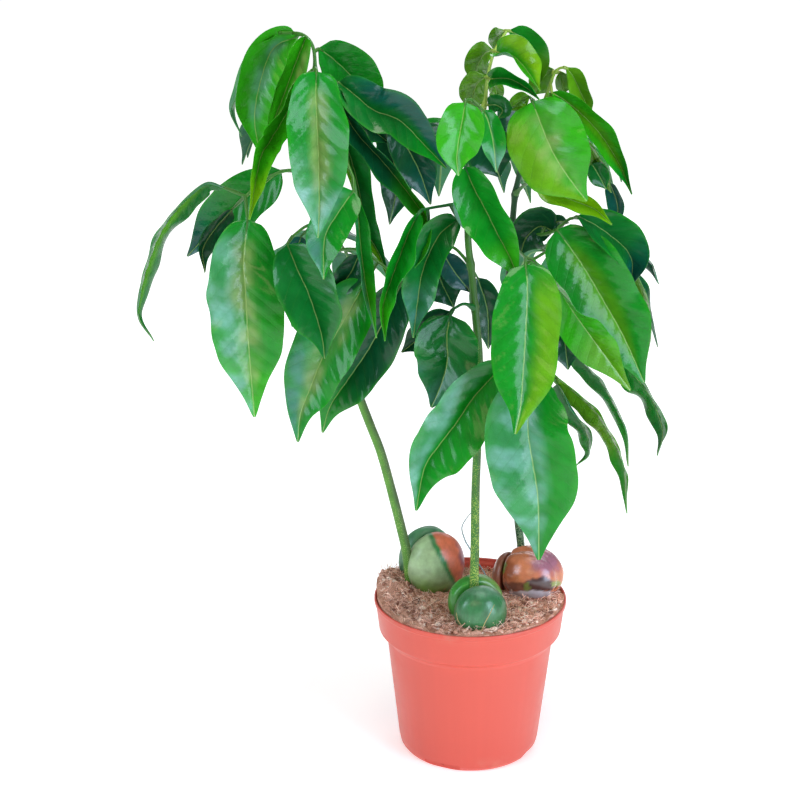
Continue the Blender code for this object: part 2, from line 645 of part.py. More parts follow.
def recess_block(name, angle, margin, collection):
    """A box round one of the drainage recesses in the pot's lower edge, larger by a margin."""
    bpy.ops.mesh.primitive_cube_add(size=1.0)
    block = bpy.context.object
    block.name = name
    inner = RECESS_REACH - margin
    outer = FOOT_RADIUS + RECESS_CUTTER_OUT
    top = RECESS_HEIGHT + margin
    bottom = -RECESS_CUTTER_DOWN - margin
    size = Vector((outer - inner, RECESS_WIDTH + 2 * margin, top - bottom))
    middle = Vector(((inner + outer) / 2, 0.0, (top + bottom) / 2))
    block.data.transform(Matrix.Diagonal((*(size * MM), 1.0)))
    block.data.transform(Matrix.Translation(middle * MM))
    block.data.transform(Matrix.Rotation(math.radians(angle), 4, "Z"))
    for holder in list(block.users_collection):
        holder.objects.unlink(block)
    collection.objects.link(block)
    return make_cutter(block)


def drain_hole(name, angle, collection):
    """A round cutter for the drain hole at the back of a recess."""
    bpy.ops.mesh.primitive_cylinder_add(vertices=DRAIN_SIDES,
                                        radius=DRAIN_RADIUS * MM, depth=DRILL_LENGTH * MM)
    drill = bpy.context.object
    drill.name = name
    drill.data.transform(Matrix.Rotation(math.radians(90.0), 4, "Y"))
    drill.data.transform(Matrix.Translation(Vector((RECESS_REACH, 0.0, DRAIN_HEIGHT)) * MM))
    drill.data.transform(Matrix.Rotation(math.radians(angle), 4, "Z"))
    for holder in list(drill.users_collection):
        holder.objects.unlink(drill)
    collection.objects.link(drill)
    return make_cutter(drill)


def make_pot(plant, cutters):
    """The pot: a turned shell with a banded rim and four drained recesses in its lower edge."""
    pot = turned("pot", pot_outside(), plant)
    above = POT_HEIGHT + SPACE_CUTTER_UP
    space = turned("pot_space", [(0.0, above), *pot_inside(0.0, above)], cutters)
    make_cutter(space)
    for number, angle in enumerate(RECESS_ANGLES, start=1):
        cut(space, recess_block(f"recess_wall_{number}", angle, POT_WALL, cutters))
    for number, angle in enumerate(RECESS_ANGLES, start=1):
        cut(pot, recess_block(f"recess_{number}", angle, 0.0, cutters))
    cut(pot, space)
    for number, angle in enumerate(RECESS_ANGLES, start=1):
        cut(pot, drain_hole(f"drain_{number}", angle, cutters))
    settled(pot)
    dress(pot, "terracotta polypropylene", POT_COLOUR, POT_ROUGHNESS)
    smooth_by_angle(pot, POT_SHARP)
    return pot


def stem_route(stem, extra):
    """A stem's centre line, from its root end in the soil, longer by an extra length, up to its tip."""
    points = [sighted(spot) for spot in stem.spots]
    down = (points[0] - points[1]).normalized()
    down = (down + Vector((0.0, 0.0, -1.0))).normalized()
    return Route([points[0] + down * (ROOT_LENGTH + extra), *points])


def stem_radius(stem, share):
    """A stem's radius at a share of its length: stout at the foot, and slender under the leaves."""
    return stem.foot_radius + (stem.top_radius - stem.foot_radius) * share ** STEM_TAPER


def stem_body(stem, name, margin, collection):
    """A stem as a closed tube, or its cutter with a margin of room all round."""
    route = stem_route(stem, margin)
    count = round(route.length / STEM_STATION)
    shares = [index / count for index in range(count + 1)]
    points = [route.at(share) for share in shares]
    radii = [stem_radius(stem, share) + margin for share in shares]
    return tube(name, points, radii, collection, STEM_SIDES)


def make_stems(plant, cutters):
    """The three stems, and a cutter for the hole that each stands in."""
    holes = {}
    for key, stem in STEMS.items():
        body = stem_body(stem, stem.name, 0.0, plant)
        dress(body, stem.name + " bark", STEM_COLOUR, STEM_ROUGHNESS)
        body.data.shade_smooth()
        holes[key] = make_cutter(stem_body(stem, stem.name + "_hole", CUTTER_ROOM, cutters))
    return holes


def lobe_body(lobe, name, margin, collection):
    """Half a seed: a rounded dome with a flat inner side, or its cutter with a margin of room."""
    bm = bmesh.new()
    bmesh.ops.create_uvsphere(bm, u_segments=SEED_SEGMENTS, v_segments=SEED_RINGS, radius=1.0)
    bmesh.ops.triangulate(bm, faces=bm.faces, quad_method="FIXED")
    radii = Vector(lobe.radii)
    grow = [1.0 + margin / radius for radius in radii]
    flat = lobe.gap / 2 - lobe.offset
    for vertex in bm.verts:
        outward = vertex.co.x * radii.x
        across = vertex.co.y * radii.y
        upward = vertex.co.z * radii.z
        vertex.co = Vector((max(outward * grow[0], flat - margin), across * grow[1], upward * grow[2]))
    centre_x, centre_y = SEED_CENTRES[lobe.seed]
    place = Vector((centre_x, centre_y, lobe.centre))
    turn = Matrix.Rotation(math.radians(lobe.heading), 4, "Z")
    push = turn @ Vector((lobe.offset, 0.0, 0.0))
    bm.transform(turn)
    bm.transform(Matrix.Translation(place + push))
    bm.transform(Matrix.Diagonal((MM, MM, MM, 1.0)))
    bmesh.ops.recalc_face_normals(bm, faces=bm.faces)
    mesh = bpy.data.meshes.new(name)
    bm.to_mesh(mesh)
    bm.free()
    return mesh_object(name, mesh, collection)


def make_seeds(plant, cutters, holes):
    """The six seed halves, and a cutter for the pocket that each lies in."""
    pockets = []
    for lobe in LOBES:
        half = lobe_body(lobe, lobe.name, 0.0, plant)
        cut(half, holes[lobe.stem])
        settled(half)
        dress(half, lobe.name + " skin", lobe.colour, SEED_ROUGHNESS)
        smooth_by_angle(half, SEED_SHARP)
        pockets.append(make_cutter(lobe_body(lobe, lobe.name + "_pocket", CUTTER_ROOM, cutters)))
    return pockets


def soil_height(x, y):
    """How high the soil stands at a place, before its crumbs."""
    slope = -SOIL_FALL_TO_BACK * max(0.0, y)
    away = math.hypot(x - HEAP_PLACE[0], y - HEAP_PLACE[1])
    heap = HEAP_HEIGHT * math.exp(-(away / HEAP_SPREAD) ** 2)
    edge = math.hypot(x, y) / (RIM_RADIUS - POT_WALL)
    return SOIL_TOP + slope + heap * (1.0 - HEAP_EDGE_FALL * edge ** HEAP_EDGE_POWER)


def make_soil(plant, cutters, holes, pockets):
    """The soil: it fills the pot, with pockets for the seeds and plain holes for the stems."""
    inside = pot_inside(CLEARANCE, SOIL_TOP)
    top = [(radius, SOIL_TOP) for radius in SOIL_RINGS]
    soil = turned("soil", [*top, *inside], plant, SOIL_STEPS)
    settled(soil)
    for vertex in soil.data.vertices:
        if vertex.co.z < (SOIL_TOP - LEVEL_SLACK) * MM:
            continue
        x = vertex.co.x / MM
        y = vertex.co.y / MM
        crumb = CRUMB_HEIGHT * noise.noise(Vector((x * CRUMB_FINENESS, y * CRUMB_FINENESS, CRUMB_LAYER)))
        vertex.co.z = (soil_height(x, y) + crumb) * MM
    for number, angle in enumerate(RECESS_ANGLES, start=1):
        cut(soil, recess_block(f"recess_room_{number}", angle, POT_WALL + CLEARANCE, cutters), "MANIFOLD")
    for pocket in pockets:
        cut(soil, pocket, "MANIFOLD")
    for hole in holes.values():
        cut(soil, hole, "MANIFOLD")
    settled(soil)
    without_needles(soil)
    dress(soil, "coir and peat", SOIL_COLOUR, SOIL_ROUGHNESS)
    return soil


def blade_width(share):
    """A leaflet's width at a share of its length, for a widest part of 1: full, then a long drip tip."""
    if not 0.0 < share < 1.0:
        return TIP_WIDTH
    body = math.sin(math.pi * share ** BLADE_SHIFT) ** BLADE_FULLNESS
    ending = max(0.0, (share - TIP_START) / (1.0 - TIP_START))
    taper = 1.0 - TIP_NARROWING * ending * ending * (3.0 - 2.0 * ending)
    return max(TIP_WIDTH, body * taper)


def blade_stations(route):
    """The shares of a leaflet's length at which its blade has a row of points."""
    return BLADE_STATIONS if route.length > SHORT_BLADE else SHORT_BLADE_STATIONS


def blade_row(route, share, wide, fold, turn, twist, facing, wave):
    """The middle of the blade at a share of its length, its two edges, and the way that its face looks."""
    middle = route.at(share)
    along = route.along(share)
    across = along.cross(facing(middle)).normalized()
    face = across.cross(along).normalized()
    eased = share * share * (3.0 - 2.0 * share)
    tilt = Matrix.Rotation(math.radians(turn + twist * eased), 3, along)
    across = tilt @ across
    face = tilt @ face
    lift = math.radians(fold)
    half = wide / 2 * blade_width(share)
    ripple = wave[0] * math.sin(math.tau * (RIGHT_RIPPLES * share + wave[1])) * blade_width(share)
    counter_ripple = wave[0] * math.sin(math.tau * (LEFT_RIPPLES * share + wave[2])) * blade_width(share)
    right = middle + (across * math.cos(lift) + face * math.sin(lift)) * half + face * ripple
    left = middle + (-across * math.cos(lift) + face * math.sin(lift)) * half + face * counter_ripple
    return right, middle, left, face


def leaflet_body(name, root, route, shape, facing, rng, collection):
    """A leaflet as one closed body: a short stalk that is sunk in the rachis, and a folded, waved blade."""
    wide, fold, turn, twist = shape
    wave = (min(RIPPLE_HEIGHT, wide * RIPPLE_SHARE), rng.random(), rng.random())
    rows = []
    start = route.at(0.0)
    along = route.along(0.0)
    outward = (start - root).normalized()
    face = blade_row(route, NEAR_BASE, wide, fold, turn, twist, facing, wave)[3]
    for place, radius, axis in ((root - outward * STALK_SINK, STALK_RADIUS * STALK_ROOT_SHARE, outward),
                                (start, STALK_RADIUS, (outward + along).normalized())):
        up = along.rotation_difference(axis) @ face
        edge = axis.cross(up).normalized() * radius
        up = up * radius * STALK_FLATNESS
        low = up * STALK_EDGE
        rows.append(((place + edge + low, place + up, place - edge + low),
                     (place + edge - low, place - up, place - edge - low)))
    thickness = BLADE_THICKNESS / 2
    for share in blade_stations(route)[1:]:
        right, middle, left, face = blade_row(route, share, wide, fold, turn, twist, facing, wave)
        lift = face * thickness
        rows.append(((right + lift, middle + lift, left + lift), (right - lift, middle - lift, left - lift)))
    bm = bmesh.new()
    made = []
    for upper, lower in rows:
        made.append(([bm.verts.new(point * MM) for point in upper],
                     [bm.verts.new(point * MM) for point in lower]))
    for (near_up, near_low), (far_up, far_low) in zip(made, made[1:]):
        for index in (0, 1):
            bm.faces.new((near_up[index], near_up[index + 1], far_up[index]))
            bm.faces.new((near_up[index + 1], far_up[index + 1], far_up[index]))
            bm.faces.new((near_low[index + 1], near_low[index], far_low[index]))
            bm.faces.new((far_low[index + 1], near_low[index + 1], far_low[index]))
        bm.faces.new((near_low[0], near_up[0], far_up[0]))
        bm.faces.new((near_low[0], far_up[0], far_low[0]))
        bm.faces.new((near_up[2], near_low[2], far_up[2]))
        bm.faces.new((near_low[2], far_low[2], far_up[2]))
    for upper, lower in (made[0], made[-1]):
        for index in (0, 1):
            bm.faces.new((upper[index], upper[index + 1], lower[index]))
            bm.faces.new((upper[index + 1], lower[index + 1], lower[index]))
    bmesh.ops.recalc_face_normals(bm, faces=bm.faces)
    mesh = bpy.data.meshes.new(name)
    bm.to_mesh(mesh)
    bm.free()
    return mesh_object(name, mesh, collection)


def towards_eye(place):
    """The way from a place to someone who looks at the plant from the front."""
    return (EYE - place).normalized()


def seen_height(point):
    """The height at which a point appears on the upright plane through the pot's axis."""
    return EYE.z + (point.z - EYE.z) * -EYE.y / (point.y - EYE.y)


def seat_room(outward, ahead, along, stem_reach, on_tip):
    """How far from the stem's centre a stalk starts, so that its swollen foot stays clear of the stem."""
    first = ahead.orthogonal().normalized()
    second = ahead.cross(first)
    rim = [(first * math.cos(turn) + second * math.sin(turn)) * PULVINUS_RADIUS
           for turn in (math.tau * step / SEAT_RIM_POINTS for step in range(SEAT_RIM_POINTS))]
    room = 0.0
    while True:
        places = [outward * room + point for point in rim]
        if on_tip:
            nearest = min(place.dot(along) for place in places)
        else:
            nearest = min((place - along * place.dot(along)).length for place in places) - stem_reach
        if nearest >= CLEARANCE + SEAT_SLACK:
            return room
        room += SEAT_STEP


def rachis_route(frond):
    """A frond's stalk: it starts just off its stem, at a height or at the tip, and runs through its own spots."""
    stem = STEMS[frond.stem]
    line = stem_route(stem, 0.0)
    spots = [sighted(spot) for spot in frond.rachis]
    if frond.height is None:
        seat = line.points[-1]
        along = line.along(1.0)
        outward = along
    else:
        seat = min(line.points, key=lambda point: abs(seen_height(point) - frond.height))
        share = line.lengths[line.points.index(seat)] / line.length
        along = line.along(share)
        outward = spots[0] - seat
        outward = (outward - along * outward.dot(along)).normalized()
    share = line.lengths[line.points.index(seat)] / line.length
    reach = stem_radius(stem, share)
    ahead = (spots[0] - seat - outward * reach).normalized()
    room = seat_room(outward, ahead, along, reach, frond.height is None)
    return Route([seat + outward * room, *spots])


def rachis_shares(route):
    """The shares of a stalk's length at which its tube has a ring of points."""
    count = max(3, round(route.length / RACHIS_STATION))
    foot = min(PULVINUS_LENGTH / route.length, 0.5 / count)
    return [0.0, foot, *[index / count for index in range(1, count + 1)]]


def rachis_body(frond, route, collection):
    """The stalk as a tube with a swollen foot."""
    shares = rachis_shares(route)
    radii = [PULVINUS_RADIUS if share == 0.0 else RACHIS_RADIUS * (1.0 - RACHIS_TAPER * share)
             for share in shares]
    return tube(frond.name, [route.at(share) for share in shares], radii, collection, RACHIS_SIDES)


def make_frond(frond, plant):
    """One frond whose leaflets are placed by hand: its stalk and its leaflets, grown together."""
    rachis = rachis_route(frond)
    body = rachis_body(frond, rachis, plant)
    line = [rachis.at(share) for share in rachis_shares(rachis)]
    grown = []
    for number, row in enumerate(frond.leaflets, start=1):
        name = f"{frond.name}_leaflet_{number}"
        rng = random.Random(name)
        near, far = row.depths
        shares = [index / (len(row.spots) - 1) for index in range(len(row.spots))]
        points = [sighted((*spot, near + (far - near) * share)) for spot, share in zip(row.spots, shares)]
        route = Route(points)
        root = nearest_on(line, points[0])
        shape = (row.wide, row.fold, row.turn, row.twist)
        grown.append(leaflet_body(name, root, route, shape, towards_eye, rng, plant))
    joined(body, grown, frond.name + "_growth")
    dress(body, frond.name + " leaf", frond.colour, LEAF_ROUGHNESS)
    smooth_by_angle(body, LEAF_SHARP)
    return body


def ruled_leaflets(frond, rachis):
    """Leaflets set in pairs along a stalk by rule: they leave it sideways, and droop."""
    rng = random.Random(frond.seed)
    down = Vector((0.0, 0.0, -1.0))
    line = [rachis.at(share) for share in rachis_shares(rachis)]
    placed = []
    slots = [(FIRST_PAIR + PAIR_SPREAD * pair / max(1, frond.pairs - 1), side)
             for pair in range(frond.pairs) for side in (1, -1)]
    slots.append((1.0, 0))
    for share, side in slots:
        start = nearest_on(line, rachis.at(share))
        along = rachis.along(share)
        across = along.cross(down).normalized()
        leave = (across * side + along * (PAIR_LEAN if side else 1.0) + down * LEAVE_DROP).normalized()
        hang = (leave * HANG_LEAN + down).normalized()
        long = frond.long * rng.uniform(*LENGTH_RANGE)
        points = [start + leave * LEAVE_LENGTH]
        for step in range(1, DROOP_STEPS + 1):
            heading = leave.lerp(hang, min(1.0, step / DROOP_STEPS * DROOP_SPEED)).normalized()
            points.append(points[-1] + heading * long / DROOP_STEPS)
        outward = (leave + Vector((0.0, 0.0, FACE_LIFT))).normalized()
        wide = frond.wide * rng.uniform(*WIDTH_RANGE)
        fold = rng.uniform(*FOLD_RANGE)
        placed.append((start, Route(points), wide, fold, outward, rng))
    return placed


def make_ruled_frond(frond, plant):
    """One frond at the back, with its leaflets placed by rule."""
    rachis = rachis_route(frond)
    body = rachis_body(frond, rachis, plant)
    grown = []
    for number, (root, route, wide, fold, outward, rng) in enumerate(ruled_leaflets(frond, rachis), start=1):
        name = f"{frond.name}_leaflet_{number}"

        def facing(_, way=outward):
            return way

        grown.append(leaflet_body(name, root, route, (wide, fold, 0.0, 0.0), facing, rng, plant))
    joined(body, grown, frond.name + "_growth")
    dress(body, frond.name + " leaf", MATURE_COLOUR, LEAF_ROUGHNESS)
    smooth_by_angle(body, LEAF_SHARP)
    return body


def main():
    """Build the whole plant in its pot."""
    clear_scene()
    plant = new_collection("Potted black bean tree")
    cutters = new_collection("Cutters")
    make_pot(plant, cutters)
    holes = make_stems(plant, cutters)
    pockets = make_seeds(plant, cutters, holes)
    make_soil(plant, cutters, holes, pockets)
    for frond in FRONDS:
        make_frond(frond, plant)
    for frond in RULED_FRONDS:
        make_ruled_frond(frond, plant)


main()
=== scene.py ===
"""Potted black bean tree: the finished look of three seedlings in their nursery pot.

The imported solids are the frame. Each solid is replaced by a finer piece in the same place: leaflets with
veins and waved edges, stems with their scars, seed halves, a moulded pot and crumbly soil. Lengths are
in millimetres until a mesh is made, and the meshes are in metres.
"""

import logging
import math
import random
from dataclasses import dataclass, field
from enum import Enum
from typing import Any, Iterable, Optional, Sequence

import bmesh
import bpy
import numpy as np
from mathutils import Matrix, Vector, noise


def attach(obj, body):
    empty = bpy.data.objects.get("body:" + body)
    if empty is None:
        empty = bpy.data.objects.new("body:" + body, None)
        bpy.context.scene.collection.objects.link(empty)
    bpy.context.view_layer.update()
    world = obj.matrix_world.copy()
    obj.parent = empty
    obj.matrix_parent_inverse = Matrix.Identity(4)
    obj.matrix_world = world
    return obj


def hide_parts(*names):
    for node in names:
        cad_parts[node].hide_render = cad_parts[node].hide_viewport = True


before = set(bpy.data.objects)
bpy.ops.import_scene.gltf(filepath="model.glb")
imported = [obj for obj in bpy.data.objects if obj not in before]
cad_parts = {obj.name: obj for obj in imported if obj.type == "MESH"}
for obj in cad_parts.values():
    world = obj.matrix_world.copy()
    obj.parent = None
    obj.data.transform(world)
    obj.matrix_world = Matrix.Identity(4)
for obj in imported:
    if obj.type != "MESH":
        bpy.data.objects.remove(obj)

LOG = logging.getLogger("bean_tree")
MM = 0.001
# Most values of a noise texture lie in this span.
NOISE_SPAN = (0.3, 0.7)
BODY = "root"

# Where the photograph was taken from. A spot (across, up) lies on the upright plane through the pot's
# axis, as seen from there, and its depth says how far behind that plane the real point is.
EYE = np.array([-43.9, -1045.6, 579.7])
CAMERA_PITCH = 71.5
CAMERA_LENS = 82.17

Spot = tuple[float, ...]


class Tone(Enum):
    """The colours that bean tree tissue takes, as sRGB hex; some also serve as painted sheen or painted
    shade.
    """

    LIME = "#6fa808"
    BRIGHT = "#2b980c"
    MID = "#067f18"
    DEEP = "#046822"
    # DARK, TEAL and SLATE are partly the leaves' own darker greens and partly painted shade, for leaflets
    # deep in the plant.
    DARK = "#034a28"
    TEAL = "#075446"
    SLATE = "#17504a"
    # GREY is the underside's own grey, and painted sheen where it lies on a blade's upper side.
    GREY = "#4a8074"
    OLIVE = "#58960e"
    # STRAW and PALE are painted sheen: highlights of a waxy blade, laid into its colour.
    STRAW = "#9aa868"
    PALE = "#76ac9c"
    STALK = "#3f7f24"
    YOUNG_STALK = "#93b444"
    RIB = "#a5c878"


# The tones that are painted sheen: on a blade they stand for the cuticle's highlights.
PAINTED_SHEENS = (Tone.PALE, Tone.GREY, Tone.STRAW)


def linear(code: str) -> np.ndarray:
    """Turn an sRGB hex colour to linear light.

    Args:
        code: The colour as "#rrggbb".

    Returns:
        Red, green and blue from 0 to 1, in linear light.
    """
    parts = np.array([int(code[start:start + 2], 16) / 255 for start in (1, 3, 5)])
    return np.where(parts <= 0.04045, parts / 12.92, ((parts + 0.055) / 1.055) ** 2.4)


def rgba(code: str) -> tuple[float, ...]:
    """Give an sRGB hex colour as the four linear numbers of a colour socket."""
    return (*linear(code), 1.0)


def per_mm(size: float) -> float:
    """Give the scale of a texture, in a space in metres, whose features are a size in millimetres."""
    return 1000.0 / size


def unit(ways: np.ndarray) -> np.ndarray:
    """Scale vectors to a length of one, along their last axis."""
    return ways / np.maximum(np.linalg.norm(ways, axis=-1, keepdims=True), 1e-9)


def eased(low: float, high: float, value: np.ndarray) -> np.ndarray:
    """Rise smoothly from 0 at low to 1 at high."""
    share = np.clip((value - low) / (high - low), 0.0, 1.0)
    return share * share * (3.0 - 2.0 * share)


def sighted(spot: Spot) -> np.ndarray:
    """Find the point that covers a spot on the upright plane, at its own depth.

    Args:
        spot: Across, up and depth, in millimetres.

    Returns:
        The point in the plant's own frame.
    """
    across, up, depth = spot
    reach = (depth - EYE[1]) / -EYE[1]
    return EYE + (np.array([across, 0.0, up]) - EYE) * reach


def seen(points: np.ndarray) -> np.ndarray:
    """Find where points appear on the upright plane through the pot's axis, as (across, up).

    Args:
        points: Points in the plant's own frame, in millimetres.

    Returns:
        (across, up) for each point.
    """
    reach = -EYE[1] / (points[..., 1] - EYE[1])
    return np.stack([EYE[0] + (points[..., 0] - EYE[0]) * reach,
                     EYE[2] + (points[..., 2] - EYE[2]) * reach], axis=-1)


def line_noise(marks: np.ndarray, size: float, seed: float) -> np.ndarray:
    """Read smooth noise along a line.

    Args:
        marks: Distances along the line, in millimetres.
        size: The width of the noise's features, in millimetres.
        seed: A shift that gives each use its own noise.

    Returns:
        Values from about -1 to 1, one for each mark.
    """
    return field_noise(np.stack([marks, marks * 0, marks * 0 + 3.0], axis=-1), size, seed)


def field_noise(points: np.ndarray, size: float, seed: float) -> np.ndarray:
    """Read smooth noise at points.

    Args:
        points: Points of any array shape, in millimetres.
        size: The width of the noise's features, in millimetres.
        seed: A shift that gives each use its own noise.

    Returns:
        Values from about -1 to 1, one for each point.
    """
    flat = points.reshape(-1, 3) / size + seed
    return np.array([noise.noise(Vector(place)) for place in flat]).reshape(points.shape[:-1])


class Route:
    """A smooth curve through points, walked by the share of its length."""

    FINENESS = 14
    STEP = 0.02

    def __init__(self, points: Iterable[np.ndarray]) -> None:
        """Run a curve through the points.

        Args:
            points: The points that it passes through, in order.
        """
        given = np.array(list(points), float)
        ends = np.vstack([2 * given[0] - given[1], given, 2 * given[-1] - given[-2]])
        shares = (np.arange(1, self.FINENESS + 1) / self.FINENESS)[:, None]
        spans = [given[:1]]
        for before, start, end, after in zip(ends, ends[1:], ends[2:], ends[3:]):
            square, cube = shares ** 2, shares ** 3
            spans.append(start * (2 * cube - 3 * square + 1) + end * (3 * square - 2 * cube)
                         + (end - before) / 2 * (cube - 2 * square + shares)
                         + (after - start) / 2 * (cube - square))
        self.places = np.vstack(spans)
        self.marks = np.concatenate([[0.0], np.cumsum(np.linalg.norm(np.diff(self.places, axis=0), axis=1))])
        self.length = float(self.marks[-1])

    def at(self, shares: np.ndarray) -> np.ndarray:
        """Find the points at shares of the length."""
        wanted = np.clip(shares, 0.0, 1.0) * self.length
        return np.stack([np.interp(wanted, self.marks, self.places[:, axis]) for axis in range(3)], axis=-1)

    def along(self, shares: np.ndarray) -> np.ndarray:
        """Find the unit directions at shares of the length."""
        shares = np.asarray(shares, float)
        return unit(self.at(shares + self.STEP) - self.at(shares - self.STEP))

    def nearest(self, place: np.ndarray) -> np.ndarray:
        """Find the point of the curve that is nearest to a place."""
        return self.places[np.argmin(np.linalg.norm(self.places - place, axis=1))]


def fill(tree: bpy.types.NodeTree, node: bpy.types.Node, inputs: dict[Any, Any]) -> None:
    """Give a node its inputs.

    Args:
        tree: The node tree that the node is in.
        node: The node to fill.
        inputs: What goes into each input, by name or number: a value, or another node's output.
    """
    for name, value in inputs.items():
        if isinstance(value, bpy.types.NodeSocket):
            tree.links.new(value, node.inputs[name])
        else:
            node.inputs[name].default_value = value


def add_node(tree: bpy.types.NodeTree, kind: str, inputs: Optional[dict[Any, Any]] = None,
             **settings: Any) -> bpy.types.Node:
    """Add a node with its settings, values and links.

    Args:
        tree: The node tree to add it to.
        kind: The node's type name.
        inputs: What goes into each input, by name or number: a value, or the output of another node.
        settings: The node's own settings.

    Returns:
        The new node.
    """
    node = tree.nodes.new(kind)
    for name, value in settings.items():
        setattr(node, name, value)
    fill(tree, node, inputs or {})
    return node


def ranged(tree: bpy.types.NodeTree, value: Any, *ends: float) -> bpy.types.NodeSocket:
    """Map a value from its low and high end to another low and high end, and hold it between them."""
    return add_node(tree, "ShaderNodeMapRange", dict(enumerate((value, *ends)))).outputs[0]


def scaled(tree: bpy.types.NodeTree, colour: Any, factor: Any) -> bpy.types.NodeSocket:
    """Make a colour lighter or darker by a factor."""
    return add_node(tree, "ShaderNodeVectorMath", {0: colour, "Scale": factor}, operation="SCALE").outputs[0]


def mixed(tree: bpy.types.NodeTree, share: Any, first: Any, second: Any) -> bpy.types.NodeSocket:
    """Mix two colours by the share of the second."""
    return add_node(tree, "ShaderNodeMix", {0: share, 6: first, 7: second}, data_type="RGBA").outputs[2]


def stored(tree: bpy.types.NodeTree, name: str, kind: str) -> bpy.types.NodeSocket:
    """Read what the mesh stores at each point."""
    return add_node(tree, "ShaderNodeAttribute", attribute_name=name).outputs[kind]


def clouded(tree: bpy.types.NodeTree, where: Any, scale: float, **inputs: float) -> bpy.types.NodeSocket:
    """Add a cloudy noise at a scale."""
    return add_node(tree, "ShaderNodeTexNoise", {"Vector": where, "Scale": scale, **inputs}).outputs["Fac"]


def worked(tree: bpy.types.NodeTree, operation: str, *values: Any) -> bpy.types.NodeSocket:
    """Work out one operation on one to three values."""
    return add_node(tree, "ShaderNodeMath", dict(enumerate(values)), operation=operation).outputs[0]


def bumped(tree: bpy.types.NodeTree, height: Any, depth: float, strength: float) -> bpy.types.NodeSocket:
    """Raise a surface by a height, so many metres deep."""
    given = {"Strength": strength, "Distance": depth, "Height": height}
    return add_node(tree, "ShaderNodeBump", given).outputs[0]


def new_material(name: str) -> tuple[bpy.types.Material, bpy.types.NodeTree, bpy.types.Node]:
    """Make a material with an empty Principled shader.

    Args:
        name: The material's name.

    Returns:
        The material, its node tree and its shader.
    """
    made = bpy.data.materials.new(name)
    made.use_nodes = True
    return made, made.node_tree, made.node_tree.nodes["Principled BSDF"]


@dataclass(frozen=True)
class LeafCuticle:
    """The upper side of a bean tree leaflet: a living leaf under a smooth, waxy cuticle.

    The wax gives broad clear highlights. Under it the blade is quilted between its side veins, and the
    midrib is a pale yellow-green line.
    """

    name: str = "bean tree leaf, waxy upper side"
    roughness: float = 0.44
    sheen: float = 0.12
    coat: float = 0.8
    coat_ior: float = 1.38
    coat_roughness: float = 0.17
    rib_half: float = 0.4
    mottle: float = 9.0
    net: float = 1.7
    net_edge: float = 0.25
    net_height: float = 0.35
    shades: tuple[float, float] = (0.86, 1.12)
    vein_half: float = 0.09
    vein_share: float = 0.08
    rib_share: float = 0.62
    grey_share: float = 0.42
    relief: float = 0.00028
    relief_strength: float = 0.35
    ior: float = 1.47
    underside: bool = False

    def build(self) -> bpy.types.Material:
        """Make the material, which reads each leaflet's tone and each point's place on its blade.

        Returns:
            The new material.
        """
        made, tree, shader = new_material(self.name)
        tone = stored(tree, "tone", "Color")
        place = stored(tree, "place", "Vector")
        axes = add_node(tree, "ShaderNodeSeparateXYZ", {0: place}).outputs
        where = add_node(tree, "ShaderNodeTexCoord").outputs["Object"]
        away = worked(tree, "ABSOLUTE", axes[0])
        rib = ranged(tree, away, self.rib_half * 0.5, self.rib_half * 1.5, 1.0, 0.0)
        beside = worked(tree, "PINGPONG", axes[2], 0.5)
        vein = add_node(tree, "ShaderNodeMapRange", {0: beside, 1: 0.0, 2: self.vein_half, 3: 1.0, 4: 0.0},
                        interpolation_type="SMOOTHSTEP").outputs[0]
        mottle = clouded(tree, where, per_mm(self.mottle), Detail=3.0)
        depth = ranged(tree, mottle, *NOISE_SPAN, *self.shades)
        lamina = scaled(tree, tone, depth)
        if self.underside:
            lamina = mixed(tree, self.grey_share, lamina, rgba(Tone.GREY.value))
        faint = worked(tree, "MULTIPLY", vein, self.vein_share)
        veined = mixed(tree, faint, lamina, rgba(Tone.STALK.value))
        strong = worked(tree, "MULTIPLY", rib, self.rib_share)
        ribbed = mixed(tree, strong, veined, rgba(Tone.RIB.value))
        net = add_node(tree, "ShaderNodeTexVoronoi", {"Vector": where, "Scale": per_mm(self.net)},
                       feature="DISTANCE_TO_EDGE").outputs["Distance"]
        cell = ranged(tree, net, 0.0, self.net_edge, 0.0, self.net_height)
        groove = worked(tree, "MULTIPLY_ADD", vein, 1.0 if self.underside else -1.0, cell)
        bump = bumped(tree, groove, self.relief, self.relief_strength)
        rough = ranged(tree, mottle, *NOISE_SPAN, self.roughness * 0.8, self.roughness * 1.25)
        fill(tree, shader, {"Base Color": ribbed, "Roughness": rough, "Normal": bump,
                            "IOR": self.ior, "Specular IOR Level": self.sheen, "Coat Weight": self.coat,
                            "Coat IOR": self.coat_ior, "Coat Roughness": self.coat_roughness})
        return made


@dataclass(frozen=True)
class GreenStalk:
    """A leaf stalk's young skin: smooth and lightly streaked along its length."""

    name: str = "young stalk skin"
    roughness: float = 0.42
    streak: float = 1.2
    drawn_out: float = 0.12
    shades: tuple[float, float] = (0.78, 1.15)
    relief: float = 0.0001
    relief_strength: float = 0.3

    def build(self) -> bpy.types.Material:
        """Make the material, which takes its colour from each stalk's tone.

        Returns:
            The new material.
        """
        made, tree, shader = new_material(self.name)
        tone = stored(tree, "tone", "Color")
        place = stored(tree, "place", "Vector")
        drawn = add_node(tree, "ShaderNodeVectorMath", {0: place, 1: (1.0, self.drawn_out, 1.0)},
                         operation="MULTIPLY").outputs[0]
        streaks = clouded(tree, drawn, 1.0 / self.streak, Detail=2.0)
        depth = ranged(tree, streaks, *NOISE_SPAN, *self.shades)
        colour = scaled(tree, tone, depth)
        bump = bumped(tree, streaks, self.relief, self.relief_strength)
        fill(tree, shader, {"Base Color": colour, "Normal": bump, "Roughness": self.roughness})
        return made


